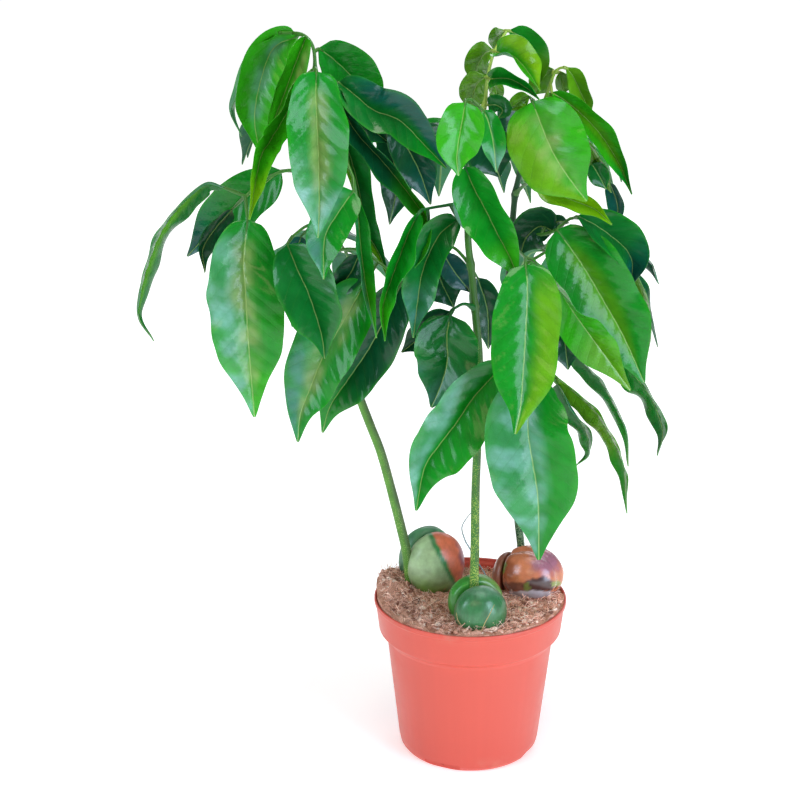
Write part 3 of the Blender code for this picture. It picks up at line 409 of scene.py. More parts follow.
@dataclass(frozen=True)
class SpeckledBark:
    """A seedling stem's green bark, set with corky pale breathing pores.

    The pores are about 0.5 mm wide in the real bark. They are drawn a little coarser, so that they show.
    """

    name: str
    green: str
    speck: str
    shadow: str
    amount: float
    pore: float = 0.85
    pore_edge: float = 0.08
    roughness: float = 0.5
    patch: float = 9.0
    full_until: float = 30.0
    thin_from: float = 230.0
    thin_share: float = 0.25
    shadow_share: float = 0.75
    shades: tuple[float, float] = (0.8, 1.15)
    relief: float = 0.00018
    relief_strength: float = 0.5

    def build(self) -> bpy.types.Material:
        """Make the material: green bark, its pores, and painted shade, a browner side away from the light.

        Returns:
            The new material.
        """
        made, tree, shader = new_material(self.name)
        where = add_node(tree, "ShaderNodeTexCoord").outputs["Object"]
        place = stored(tree, "place", "Vector")
        axes = add_node(tree, "ShaderNodeSeparateXYZ", {0: place}).outputs
        cells = add_node(tree, "ShaderNodeTexVoronoi", {"Vector": where, "Scale": per_mm(self.pore)})
        patchy = clouded(tree, where, per_mm(self.patch))
        grown = ranged(tree, axes[1], self.full_until, self.thin_from, self.amount,
                       self.amount * self.thin_share)
        size = worked(tree, "MULTIPLY", patchy, grown)
        inside = worked(tree, "SUBTRACT", size, cells.outputs["Distance"])
        pore = ranged(tree, inside, 0.0, self.pore_edge, 0.0, 1.0)
        # Painted shade: the side that looks the stem's shaded way takes the shadow colour.
        side = ranged(tree, axes[2], 0.1, 0.9, 0.0, self.shadow_share)
        bark = mixed(tree, side, rgba(self.green), rgba(self.shadow))
        worn = ranged(tree, patchy, *NOISE_SPAN, *self.shades)
        bark = scaled(tree, bark, worn)
        specked = mixed(tree, pore, bark, rgba(self.speck))
        bump = bumped(tree, pore, self.relief, self.relief_strength)
        fill(tree, shader, {"Base Color": specked, "Normal": bump, "Roughness": self.roughness})
        return made


@dataclass(frozen=True)
class SeedSkin:
    """The leathery skin of a bean tree seed, smooth and half glossy, with cloudy streaks."""

    name: str
    roughness: float = 0.34
    coat: float = 0.2
    cloud: float = 7.0
    streak: float = 1.0
    grain: float = 0.8
    coat_roughness: float = 0.22
    shades: tuple[float, float] = (0.72, 1.2)
    cloud_relief: float = 4.0
    relief: float = 0.00015
    relief_strength: float = 0.4

    def build(self) -> bpy.types.Material:
        """Make the material, which takes its colour from each half's patches of tone.

        Returns:
            The new material.
        """
        made, tree, shader = new_material(self.name)
        tone = stored(tree, "tone", "Color")
        where = add_node(tree, "ShaderNodeTexCoord").outputs["Object"]
        drawn = add_node(tree, "ShaderNodeVectorMath", {0: where, 1: (1.0, 1.0, self.streak)},
                         operation="MULTIPLY").outputs[0]
        cloud = clouded(tree, drawn, per_mm(self.cloud), Detail=5.0, Roughness=0.6)
        grain = clouded(tree, where, per_mm(self.grain), Detail=2.0)
        depth = ranged(tree, cloud, *NOISE_SPAN, *self.shades)
        colour = scaled(tree, tone, depth)
        rough = ranged(tree, cloud, *NOISE_SPAN, self.roughness * 1.3, self.roughness * 0.8)
        height = worked(tree, "MULTIPLY_ADD", cloud, self.cloud_relief, grain)
        bump = bumped(tree, height, self.relief, self.relief_strength)
        fill(tree, shader, {"Base Color": colour, "Roughness": rough, "Normal": bump,
                            "Coat Weight": self.coat, "Coat Roughness": self.coat_roughness})
        return made


@dataclass(frozen=True)
class MouldedPolypropylene:
    """Injection-moulded polypropylene in terracotta: satin, faintly drawn down the wall by the mould."""

    name: str = "terracotta polypropylene, moulded"
    colour: str = "#d85646"
    dust: str = "#c9a58e"
    roughness: float = 0.36
    draw: float = 7.0
    peel: float = 0.9
    drawn_out: float = 0.04
    smudge: float = 16.0
    shades: tuple[float, float] = (0.985, 1.015)
    dusty_top: tuple[float, float] = (93.0, 101.0)
    dusty_foot: float = 12.0
    draw_relief: float = 0.2
    relief: float = 0.0001
    relief_strength: float = 0.18
    ior: float = 1.49

    def build(self) -> bpy.types.Material:
        """Make the material: upright draw marks, a fine orange-peel grain, and dust at the rim and foot.

        Returns:
            The new material.
        """
        made, tree, shader = new_material(self.name)
        place = stored(tree, "place", "Vector")
        where = add_node(tree, "ShaderNodeTexCoord").outputs["Object"]
        axes = add_node(tree, "ShaderNodeSeparateXYZ", {0: place}).outputs
        drawn = add_node(tree, "ShaderNodeVectorMath", {0: place, 1: (1.0, self.drawn_out, 1.0)},
                         operation="MULTIPLY").outputs[0]
        marks = clouded(tree, drawn, 1.0 / self.draw, Detail=3.0)
        peel = clouded(tree, where, per_mm(self.peel))
        smudge = clouded(tree, where, per_mm(self.smudge), Detail=6.0, Roughness=0.65)
        depth = ranged(tree, marks, *NOISE_SPAN, *self.shades)
        body = scaled(tree, rgba(self.colour)[:3], depth)
        near_soil = ranged(tree, axes[1], *self.dusty_top, 0.0, 0.5)
        near_foot = ranged(tree, axes[1], 0.0, self.dusty_foot, 0.5, 0.0)
        ends = worked(tree, "ADD", near_soil, near_foot)
        patch = ranged(tree, smudge, 0.52, 0.72, 0.0, 0.55)
        dusty = worked(tree, "MULTIPLY", ends, patch)
        colour = mixed(tree, dusty, body, rgba(self.dust))
        rough = ranged(tree, smudge, *NOISE_SPAN, self.roughness * 0.85, self.roughness * 1.3)
        height = worked(tree, "MULTIPLY_ADD", marks, self.draw_relief, peel)
        bump = bumped(tree, height, self.relief, self.relief_strength)
        fill(tree, shader, {"Base Color": colour, "Roughness": rough, "Normal": bump, "IOR": self.ior})
        return made


@dataclass(frozen=True)
class CoirAndPeat:
    """Potting mix of coir and peat: dry, matt crumbs and fibres in many browns."""

    name: str = "coir and peat mix"
    grit: float = 0.7
    roughness: float = 0.95
    sheen: float = 0.2
    shades: tuple[float, float] = (0.55, 1.4)
    relief: float = 0.0003
    relief_strength: float = 0.9

    def build(self) -> bpy.types.Material:
        """Make the material, which varies each crumb's tone and roughens it with fine grit.

        Returns:
            The new material.
        """
        made, tree, shader = new_material(self.name)
        tone = stored(tree, "tone", "Color")
        where = add_node(tree, "ShaderNodeTexCoord").outputs["Object"]
        grit = clouded(tree, where, per_mm(self.grit), Detail=4.0, Roughness=0.7)
        depth = ranged(tree, grit, *NOISE_SPAN, *self.shades)
        colour = scaled(tree, tone, depth)
        bump = bumped(tree, grit, self.relief, self.relief_strength)
        fill(tree, shader, {"Base Color": colour, "Normal": bump, "Roughness": self.roughness,
                            "Specular IOR Level": self.sheen})
        return made


class Shell:
    """Gathers one piece's points and faces, with the tone and place that its finishes read at each point."""

    def __init__(self) -> None:
        """Start with nothing."""
        self.points: list[np.ndarray] = []
        self.tones: list[np.ndarray] = []
        self.places: list[np.ndarray] = []
        self.faces: list[list[int]] = []
        self.finishes: list[int] = []
        self.count = 0

    def add(self, points: np.ndarray, faces: Iterable[Sequence[int]], finish: int | Sequence[int],
            tones: np.ndarray, places: Optional[np.ndarray] = None) -> None:
        """Add points and faces.

        Args:
            points: The points, in millimetres, as rows of three.
            faces: Each face's point numbers, counted from this call's first point.
            finish: The number of the finish, or one for each face.
            tones: One linear colour for all the points, or one for each.
            places: What the finish reads as each point's place. Left out, it is the point itself.
        """
        points = points.reshape(-1, 3)
        faces = [[int(corner) + self.count for corner in face] for face in faces]
        self.points.append(points)
        self.tones.append(np.broadcast_to(tones, points.shape).reshape(-1, 3))
        self.places.append(points if places is None else places.reshape(-1, 3))
        self.faces += faces
        self.finishes += [finish] * len(faces) if isinstance(finish, int) else list(finish)
        self.count += len(points)

    def tube(self, points: np.ndarray, radii: np.ndarray, sides: int, finish: int, tones: np.ndarray,
             side_way: Optional[np.ndarray] = None) -> None:
        """Add a closed round tube.

        Args:
            points: The points of its centre line.
            radii: Its radius at each point.
            sides: How many sides it has.
            finish: The number of its finish.
            tones: One colour, or one for each point of the centre line.
            side_way: A direction. The third part of each point's place says how far it looks that way.
        """
        ways = unit(np.gradient(points, axis=0))
        first = unit(np.cross(ways[0], np.array([0.31, 0.9, 0.22])))
        turns = np.linspace(0.0, math.tau, sides, endpoint=False)
        marks = np.concatenate([[0.0], np.cumsum(np.linalg.norm(np.diff(points, axis=0), axis=1))])
        rows, places = [], []
        for point, way, radius, mark in zip(points, ways, radii, marks):
            first = unit(first - way * (first @ way))
            second = np.cross(way, first)
            out = np.outer(np.cos(turns), first) + np.outer(np.sin(turns), second)
            rows.append(point + out * radius)
            looks = np.zeros(sides) if side_way is None else out @ side_way
            places.append(np.stack([turns * radii.mean(), np.full(sides, mark), looks], axis=1))
        rows.append(np.array([points[0], points[-1]]))
        places.append(np.array([[0.0, 0.0, 0.0], [0.0, marks[-1], 0.0]]))
        if tones.ndim == 2:
            tones = np.vstack([np.repeat(tones, sides, axis=0), tones[:1], tones[-1:]])
        self.add(np.vstack(rows), ring_faces(len(points), sides), finish, tones, np.vstack(places))

    def build(self, name: str, finishes: Sequence[bpy.types.Material],
              sharp: float = 50.0) -> bpy.types.Object:
        """Make the piece.

        Args:
            name: The piece's name.
            finishes: Its materials, in the order of their numbers.
            sharp: Edges that bend more than this many degrees stay sharp.

        Returns:
            The new object, linked to the scene.
        """
        mesh = bpy.data.meshes.new(name)
        mesh.from_pydata((np.vstack(self.points) * MM).tolist(), [], self.faces)
        for finish in finishes:
            mesh.materials.append(finish)
        mesh.polygons.foreach_set("material_index", self.finishes)
        tone = mesh.attributes.new("tone", "FLOAT_COLOR", "POINT")
        tones = np.vstack(self.tones)
        tone.data.foreach_set("color", np.hstack([tones, np.ones((len(tones), 1))]).ravel())
        place = mesh.attributes.new("place", "FLOAT_VECTOR", "POINT")
        place.data.foreach_set("vector", np.vstack(self.places).ravel())
        bm = bmesh.new()
        bm.from_mesh(mesh)
        bmesh.ops.recalc_face_normals(bm, faces=bm.faces)
        bm.to_mesh(mesh)
        bm.free()
        mesh.shade_smooth()
        mesh.set_sharp_from_angle(angle=math.radians(sharp))
        piece = bpy.data.objects.new(name, mesh)
        bpy.context.scene.collection.objects.link(piece)
        return piece


def ring_faces(rows: int, steps: int) -> list[tuple[int, ...]]:
    """List the faces of stacked rings, closed at both ends on the two points that come after them.

    Args:
        rows: How many rings there are.
        steps: How many points each ring has.

    Returns:
        Each face's point numbers.
    """
    faces = [(row * steps + step, row * steps + (step + 1) % steps, (row + 1) * steps + (step + 1) % steps,
              (row + 1) * steps + step) for row in range(rows - 1) for step in range(steps)]
    last, top = rows * steps, (rows - 1) * steps
    faces += [((step + 1) % steps, step, last) for step in range(steps)]
    return faces + [(top + step, top + (step + 1) % steps, last + 1) for step in range(steps)]


def settle(piece: bpy.types.Object, slot: str, *nodes: str) -> bpy.types.Object:
    """Put a finished piece in the frame: it rides on the plant and stands for its solids.

    Args:
        piece: The finished piece.
        slot: The name of a slot. It is not used.
        nodes: The solids that it stands for, if any.

    Returns:
        The same piece.
    """
    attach(piece, BODY)
    if nodes:
        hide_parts(*nodes)
    return piece


@dataclass(frozen=True)
class Blade:
    """The sizes that every leaflet's blade shares."""

    station: float = 1.9
    columns: tuple[float, ...] = (0.0, 0.04, 0.1, 0.19, 0.31, 0.45, 0.6, 0.75, 0.88, 0.96, 1.0)
    thickness: float = 0.34
    edge_thickness: float = 0.2
    vein_pitch: float = 8.6
    quilt: float = 0.75
    buckle: float = 0.7
    rib_depth: float = 0.25
    flute: float = 0.11
    frill: float = 0.09
    frill_most: float = 2.2
    frill_gain: float = 1.5
    frill_pitch: float = 15.0
    flute_pitch: float = 17.0
    buckle_pitch: float = 26.0
    ripple_most: float = 1.6
    ripple_share: float = 0.05
    ripples: tuple[float, float] = (1.7, 1.9)
    vein_slant: float = 0.62
    vein_curve: float = 0.012
    full_width: float = 34.0
    rib_half: float = 0.75
    rib_above: float = 0.6
    rib_below: float = 2.6
    arch: float = 21.0
    shoulder: float = 0.75
    bluntness: float = 0.52
    tip_start: float = 0.66
    tip_taper: float = 0.62
    narrowest: float = 0.035
    cloud_pitch: float = 22.0
    cloud_reach: float = 0.22
    broken_pitch: float = 11.0
    edge_start: float = 0.86
    edge_share: float = 0.35

    def width(self, shares: np.ndarray) -> np.ndarray:
        """Give a leaflet's width at shares of its length, for a widest part of 1.

        Args:
            shares: Shares of the leaflet's length, from 0 at its root to 1 at its tip.

        Returns:
            The width at each share.
        """
        body = np.sin(math.pi * np.clip(shares, 0.0, 1.0) ** self.shoulder) ** self.bluntness
        taper = 1.0 - self.tip_taper * eased(self.tip_start, 1.0, shares)
        return np.maximum(self.narrowest, body * taper)

    def grow(self, shell: Shell, name: str, route: Route, row: "Leaflet", facing: Optional[np.ndarray],
             rng: random.Random) -> None:
        """Add one leaflet's blade to a shell.

        Args:
            shell: The shell of the frond that it grows on.
            name: The leaflet's name, which seeds its finer relief.
            route: The leaflet's midrib.
            row: The leaflet's width, folds and tones.
            facing: The way that its face looks, or None for towards the eye.
            rng: The draws that set its two margins' waves, in the same order as in the solids.
        """
        ripple_size = min(self.ripple_most, row.wide * self.ripple_share)
        phases = (rng.random(), rng.random())
        own = random.Random(f"{name} surface")
        extra = [own.random() for _ in range(4)]
        shares = np.linspace(0.0, 1.0, max(14, round(route.length / self.station)) + 1)
        middle = route.at(shares)
        along = route.along(shares)
        look = unit(EYE - middle) if facing is None else np.broadcast_to(facing, middle.shape)
        across = unit(np.cross(along, look))
        face = unit(np.cross(across, along))
        angle = np.radians(row.turn + row.twist * eased(0.0, 1.0, shares))[:, None]
        across, face = (across * np.cos(angle) - face * np.sin(angle),
                        face * np.cos(angle) + across * np.sin(angle))
        half = row.wide / 2 * self.width(shares)
        sides = []
        for side, waves, phase in zip((1, -1), self.ripples, phases):
            columns = np.array(self.columns)
            marks = shares * route.length
            wavy = half * (1 + self.flute * line_noise(marks, self.flute_pitch, extra[0] * 40 + side * 9))
            arch = self.arch * max(-0.4, 1 - row.fold / 45)
            bend = np.radians(row.fold + arch * (1 - columns[1:] - columns[:-1]))
            steps = np.diff(columns)
            sideways = np.concatenate([[0.0], np.cumsum(np.cos(bend) * steps)])
            upward = np.concatenate([[0.0], np.cumsum(np.sin(bend) * steps)])
            angles = np.radians(row.fold + arch * (1 - 2 * columns))
            normal = (face[:, None] * np.cos(angles)[None, :, None]
                      - side * across[:, None] * np.sin(angles)[None, :, None])
            points = (middle[:, None] + side * across[:, None] * (wavy[:, None] * sideways)[..., None]
                      + face[:, None] * (wavy[:, None] * upward)[..., None])
            ripple = ripple_size * np.sin(math.tau * (waves * shares + phase)) * self.width(shares)
            frill = min(self.frill_most, row.wide * self.frill) * self.frill_gain
            frill = frill * line_noise(marks, self.frill_pitch, extra[1] * 40 - side * 9)
            points += face[:, None] * (ripple[:, None] * columns ** 1.4)[..., None]
            points += normal * (frill[:, None] * self.width(shares)[:, None] * columns ** 2.4)[..., None]
            distance = wavy[:, None] * columns
            slant = self.vein_slant * distance + self.vein_curve * distance ** 2
            phase_map = (shares[:, None] * route.length - slant) / self.vein_pitch
            phase_map = phase_map + extra[2] + 0.5 * (side < 0)
            pillow = -np.cos(math.tau * phase_map) * self.quilt * np.sqrt(columns) * (1 - columns ** 4)
            size = min(1.0, row.wide / self.full_width) ** 1.5
            soft = field_noise(points, self.buckle_pitch, extra[3] * 40) * self.buckle * size
            relief = (pillow * size + soft * np.minimum(1.0, columns * 3)) * self.width(shares)[:, None]
            points += normal * relief[..., None]
            sides.append((points, normal, distance * side, phase_map))
        (left, left_normal, left_far, left_phase), (right, right_normal, right_far, right_phase) = sides
        points = np.concatenate([left[:, ::-1], right[:, 1:]], axis=1)
        normal = np.concatenate([left_normal[:, :0:-1], (left_normal[:, :1] + right_normal[:, :1]) / 2,
                                 right_normal[:, 1:]], axis=1)
        far = np.concatenate([left_far[:, ::-1], right_far[:, 1:]], axis=1)
        phase_map = np.concatenate([left_phase[:, ::-1], right_phase[:, 1:]], axis=1)
        spread = np.abs(far) / np.maximum(half[:, None], 0.01)
        thin = self.edge_thickness + (self.thickness - self.edge_thickness) * (1 - spread ** 2)
        rib = np.exp(-(far / self.rib_half) ** 2) * (0.35 + 0.65 * (1 - shares[:, None]))
        upper = points + normal * (thin / 2 - rib * self.rib_depth * self.rib_above)[..., None]
        lower = points - normal * (thin / 2 + rib * self.rib_depth * self.rib_below)[..., None]
        tones = self.tones(row, points, shares, far / np.maximum(half[:, None], 0.01), phase_map)
        mark = np.broadcast_to(shares[:, None] * route.length, far.shape)
        self.sheet(shell, upper, lower, tones, np.stack([far, mark, phase_map], axis=-1))

    def tones(self, row: "Leaflet", points: np.ndarray, shares: np.ndarray, spread: np.ndarray,
              pillows: np.ndarray) -> np.ndarray:
        """Blend a leaflet's tones over its blade. Painted sheen lies unevenly, mostly between side veins.

        Args:
            row: The leaflet, with its tones.
            points: The points of its blade.
            shares: Shares of its length, one for each row of points.
            spread: How far each point is from the midrib: 0 there, 1 or -1 at a margin.
            pillows: Where each point lies among the side veins: 1 more from each vein to the next.

        Returns:
            A linear colour for each point.
        """
        cloud = field_noise(points, self.cloud_pitch, 7.0) * self.cloud_reach
        begun = eased(0.0, 0.25, shares)[:, None]
        broken = 0.2 + 0.6 * eased(-0.3, 0.25, field_noise(points, self.broken_pitch, 4.0))
        colour = np.broadcast_to(linear(row.tone.value), points.shape).copy()
        for other, share in ((row.tip, eased(0.45, 0.85, shares[:, None] + cloud)),
                             (row.side, eased(0.05, 0.5, spread + cloud) * begun),
                             (row.back, eased(0.05, 0.5, -spread + cloud) * begun),
                             (row.band, eased(0.5, 0.15, np.abs(spread) + cloud) * 0.7
                              * (eased(0.05, 0.2, shares) * eased(0.95, 0.75, shares))[:, None])):
            if other is not None:
                share = np.broadcast_to(share, spread.shape)
                # Painted highlights: a sheen tone is broken into patches and lies most on the quilting
                # between side veins.
                if other in PAINTED_SHEENS:
                    share = share * broken * (0.88 - 0.12 * np.cos(math.tau * pillows))
                    share = share * eased(1.0, 0.92, shares)[:, None]
                colour = colour * (1 - share[..., None]) + linear(other.value) * share[..., None]
        edge = eased(self.edge_start, 1.0, np.abs(spread))[..., None] * self.edge_share
        return colour * (1 - edge) + linear(Tone.BRIGHT.value) * edge

    @staticmethod
    def sheet(shell: Shell, upper: np.ndarray, lower: np.ndarray, tones: np.ndarray,
              places: np.ndarray) -> None:
        """Close two matching grids of points into one thin body, its two sides in finishes 0 and 1.

        Args:
            shell: The shell to add the body to.
            upper: The grid of its upper points.
            lower: The matching grid of its lower points.
            tones: A linear colour for each point of a grid.
            places: What the finish reads as the place of each point of a grid.
        """
        rows, columns = upper.shape[:2]
        number = np.arange(rows * columns).reshape(rows, columns)
        other = number + rows * columns

        def quads(grid: np.ndarray) -> list[np.ndarray]:
            """List a grid's faces."""
            corners = [grid[:-1, :-1], grid[:-1, 1:], grid[1:, 1:], grid[1:, :-1]]
            return list(np.stack(corners, axis=-1).reshape(-1, 4))

        rim = np.concatenate([number[0, :], number[1:, -1], number[-1, -2::-1], number[-2:0:-1, 0]])
        rim_other = rim + rows * columns
        walls = np.stack([rim, np.roll(rim, -1), np.roll(rim_other, -1), rim_other], axis=-1)
        top, under = quads(number), quads(other)
        shell.add(np.concatenate([upper.reshape(-1, 3), lower.reshape(-1, 3)]), [*top, *under, *walls],
                  [0] * len(top) + [1] * len(under) + [0] * len(walls),
                  np.concatenate([tones.reshape(-1, 3)] * 2), np.concatenate([places.reshape(-1, 3)] * 2))


@dataclass(frozen=True)
class Leaflet:
    """One leaflet: where its midrib is seen, how deep its two ends lie, its width, its tilt and its tones.

    The side tone is on the half that is to the left as seen where the leaflet hangs down, and the back
    tone on the other half. The band tone runs along the midrib.
    """

    spots: Sequence[Spot]
    depths: tuple[float, float]
    wide: float
    fold: float = 22.0
    turn: float = 0.0
    twist: float = 0.0
    # Pale, grey and straw tones here are painted sheen; dark, teal and slate ones are partly painted shade.
    tone: Tone = Tone.MID
    tip: Optional[Tone] = None
    side: Optional[Tone] = None
    back: Optional[Tone] = None
    band: Optional[Tone] = None

    def route(self) -> Route:
        """Run the midrib through its spots.

        Returns:
            The midrib.
        """
        near, far = self.depths
        last = len(self.spots) - 1
        return Route(sighted((*spot, near + (far - near) * index / last))
                     for index, spot in enumerate(self.spots))


@dataclass(frozen=True)
class Stem:
    """One seedling's stem, which tapers from its foot in the soil to its tip."""

    name: str
    spots: Sequence[Spot]
    foot_radius: float
    top_radius: float
    bark: SpeckledBark
    scars: Sequence[float]
    root: float = 36.0
    station: float = 1.6
    sides: int = 20
    taper: float = 0.8
    swelling: tuple[float, float] = (0.42, 3.2)
    ridge: tuple[float, float] = (0.3, 0.9)
    unevenness: float = 0.03
    uneven_pitch: float = 9.0
    # The way that the bark's painted shade faces: away from the light.
    shaded_way: tuple[float, float, float] = (0.94, -0.2, 0.0)

    def route(self) -> Route:
        """Run the centre line from the root end through the spots.

        Returns:
            The centre line.
        """
        points = [sighted(spot) for spot in self.spots]
        down = unit(unit(points[0] - points[1]) + np.array([0.0, 0.0, -1.0]))
        return Route([points[0] + down * self.root, *points])

    def build(self) -> bpy.types.Object:
        """Make the stem, with a swelling and a ridge at each leaf scar.

        Returns:
            The stem.
        """
        route = self.route()
        shares = np.linspace(0.0, 1.0, round(route.length / self.station) + 1)
        radii = self.foot_radius + (self.top_radius - self.foot_radius) * shares ** self.taper
        points = route.at(shares)
        heights = seen(points)[:, 1]
        for scar in self.scars:
            for height, reach in (self.swelling, self.ridge):
                radii = radii + height * np.exp(-((heights - scar) / reach) ** 2)
        radii = radii * (1 + self.unevenness * field_noise(points, self.uneven_pitch, 3.0))
        shell = Shell()
        shell.tube(points, radii, self.sides, 0, linear(self.bark.green), np.array(self.shaded_way))
        return settle(shell.build(self.name.replace("stem", "bark"), [self.bark.build()]), "stem", self.name)


# Each bark's third colour is painted shade, on the side away from the light.
STEMS = {
    "left": Stem(
        "left_stem",
        [(-38.0, 112, 5), (-40.0, 131, 4), (-42.9, 145, 4), (-48.8, 170, 4), (-55.5, 196, 4), (-62, 214, 4),
         (-69, 234, 4), (-78, 265, 2), (-85, 292, 0), (-89, 330, -2), (-91, 370, -4), (-92, 405, -5),
         (-92.3, 424, -6)],
        3.3, 2.1, SpeckledBark("green bark with a painted shaded side", "#55902a", "#a2b866", "#4f5a3e", 0.66),
        (236, 318, 338, 366, 386, 395, 408)),
    "middle": Stem(
        "middle_stem",
        [(2.4, 106, -33), (2.6, 133, -33), (2.5, 170, -33), (3.3, 202, -32), (4.4, 230, -31), (3.4, 259, -30),
         (1.3, 280, -29), (-1.4, 307, -27), (-4, 329, -25), (-4, 352, -22), (-2, 378, -18), (3, 404, -14)],
        3.0, 1.8, SpeckledBark("green bark, thickly specked", "#3a7a1e", "#9fb64c", "#3f5c2a", 0.95),
        (231, 288, 314, 346, 368, 382, 400)),
    "right": Stem(
        "right_stem",
        [(31.2, 133, 28), (28.6, 155, 28), (25.6, 198, 27), (23.5, 242, 26), (21.9, 292, 24), (20.9, 314, 22),
         (22.6, 350, 19), (24.6, 364, 17), (30.5, 388, 13), (35, 401, 10)],
        2.6, 1.7, SpeckledBark("dark green bark", "#22542e", "#8fae7c", "#1f4a26", 0.85),
        (262, 282, 308, 320, 332, 356, 374, 386)),
}


@dataclass(frozen=True)
class Frond:
    """One frond: a stalk on its stem, with leaflets that are placed one by one."""

    name: str
    stem: str
    height: Optional[float]
    rachis: Sequence[Spot]
    leaflets: Sequence[Leaflet]
    slot: str = "mature_leaf"
    stalk: Tone = Tone.STALK
    swelling: float = 0.95
    swelling_reach: float = 3.4
    stalk_radius: float = 1.15
    stalk_taper: float = 0.34
    station: float = 2.4
    sides: int = 12
    little_sides: int = 9
    little_shade: float = 0.8
    little_ends: tuple[float, ...] = (0.0, 0.03, 0.07)
    little_marks: tuple[float, ...] = (0.0, 0.35, 0.7, 1.0)
    little_radii: tuple[float, ...] = (1.0, 1.12, 0.7, 0.3)

    def rachis_route(self) -> Route:
        """Run the stalk from its stem through its own spots.

        Returns:
            The stalk's centre line.
        """
        line = STEMS[self.stem].route()
        spots = [sighted(spot) for spot in self.rachis]
        if self.height is None:
            seat = line.places[-1]
        else:
            seat = line.places[np.argmin(np.abs(seen(line.places)[:, 1] - self.height))]
        return Route([seat, *spots])

    def placed(self, rachis: Route) -> list[tuple[str, np.ndarray, Route, Leaflet, Optional[np.ndarray],
                                                  random.Random]]:
        """List each leaflet with its root on the stalk, its midrib, its facing and its random draws.

        Args:
            rachis: The stalk's centre line.

        Returns:
            For each leaflet its name, its root, its midrib, its row, the way that its face looks, if it
            is set, and its draws.
        """
        listed = []
        for number, row in enumerate(self.leaflets, start=1):
            name = f"{self.name}_leaflet_{number}"
            route = row.route()
            listed.append((name, rachis.nearest(route.places[0]), route, row, None, random.Random(name)))
        return listed

    def build(self, finishes: Sequence[bpy.types.Material], blade: Blade) -> bpy.types.Object:
        """Make the frond as one piece: its stalk, and each leaflet's little stalk and blade.

        Args:
            finishes: The finishes of the upper side, the underside and the stalk.
            blade: The sizes that every blade shares.

        Returns:
            The frond.
        """
        shell = Shell()
        rachis = self.rachis_route()
        shares = np.linspace(0.0, 1.0, max(8, round(rachis.length / self.station)) + 1)
        beyond_bark = np.maximum(0.0, shares * rachis.length - STEMS[self.stem].foot_radius * 0.7)
        radii = (self.stalk_radius * (1.0 - self.stalk_taper * shares)
                 + self.swelling * np.exp(-(beyond_bark / self.swelling_reach) ** 2))
        shell.tube(rachis.at(shares), radii, self.sides, 2, linear(self.stalk.value))
        for name, root, route, row, facing, rng in self.placed(rachis):
            blade.grow(shell, name, route, row, facing, rng)
            self.petiolule(shell, root, route)
        return settle(shell.build(self.name.replace("frond", "foliage"), finishes), self.slot, self.name)

    def petiolule(self, shell: Shell, root: np.ndarray, route: Route) -> None:
        """Add a leaflet's little stalk: swollen where it leaves the rachis, and running on as the midrib.

        Args:
            shell: The shell of the frond.
            root: The point of the rachis that it leaves.
            route: The leaflet's midrib.
        """
        ends = route.at(np.array(self.little_ends))
        line = Route([root, *ends])
        shares = np.linspace(0.0, 1.0, 9)
        radii = np.interp(shares, self.little_marks, self.little_radii)
        shell.tube(line.at(shares), radii, self.little_sides, 2, linear(self.stalk.value) * self.little_shade)


@dataclass(frozen=True)
class RuledFrond(Frond):
    """A frond at the back, its leaflets set in pairs by rule: they leave the stalk sideways and droop."""

    leaflets: Sequence[Leaflet] = ()
    pairs: int = 2
    long: float = 70.0
    wide: float = 28.0
    seed: int = 1
    first_pair: float = 0.45
    pair_spread: float = 0.5
    pair_lean: float = 0.55
    leave_drop: float = 0.1
    leave_length: float = 4.0
    hang_lean: float = 0.42
    droop_steps: int = 4
    droop_speed: float = 1.15
    face_lift: float = 0.8

    def placed(self, rachis: Route) -> list[tuple[str, np.ndarray, Route, Leaflet, Optional[np.ndarray],
                                                  random.Random]]:
        """List each leaflet with its root on the stalk, its midrib, its facing and its random draws.

        Args:
            rachis: The stalk's centre line.

        Returns:
            For each leaflet its name, its root, its midrib, its row, the way that its face looks, if it
            is set, and its draws.
        """
        rng = random.Random(self.seed)
        down = np.array([0.0, 0.0, -1.0])
        slots = [(self.first_pair + self.pair_spread * pair / max(1, self.pairs - 1), side)
                 for pair in range(self.pairs) for side in (1, -1)]
        slots.append((1.0, 0))
        greens = (Tone.MID, Tone.DEEP, Tone.MID, Tone.DARK, Tone.BRIGHT)
        listed = []
        for number, (share, side) in enumerate(slots):
            start = rachis.at(np.array(share))
            along = rachis.along(np.array(share))
            across = unit(np.cross(along, down))
            leave = unit(across * side + along * (self.pair_lean if side else 1.0) + down * self.leave_drop)
            hang = unit(leave * self.hang_lean + down)
            long = self.long * rng.uniform(0.85, 1.1)
            points = [start + leave * self.leave_length]
            for step in range(1, self.droop_steps + 1):
                turned = min(1.0, step / self.droop_steps * self.droop_speed)
                heading = unit(leave * (1 - turned) + hang * turned)
                points.append(points[-1] + heading * long / self.droop_steps)
            wide = self.wide * rng.uniform(0.9, 1.1)
            row = Leaflet((), (0.0, 0.0), wide, rng.uniform(14, 30), tone=greens[(number + self.seed) % 5])
            listed.append((f"{self.name}_{number}", start, Route(points), row,
                           unit(leave + np.array([0.0, 0.0, self.face_lift])), rng))
        return listed
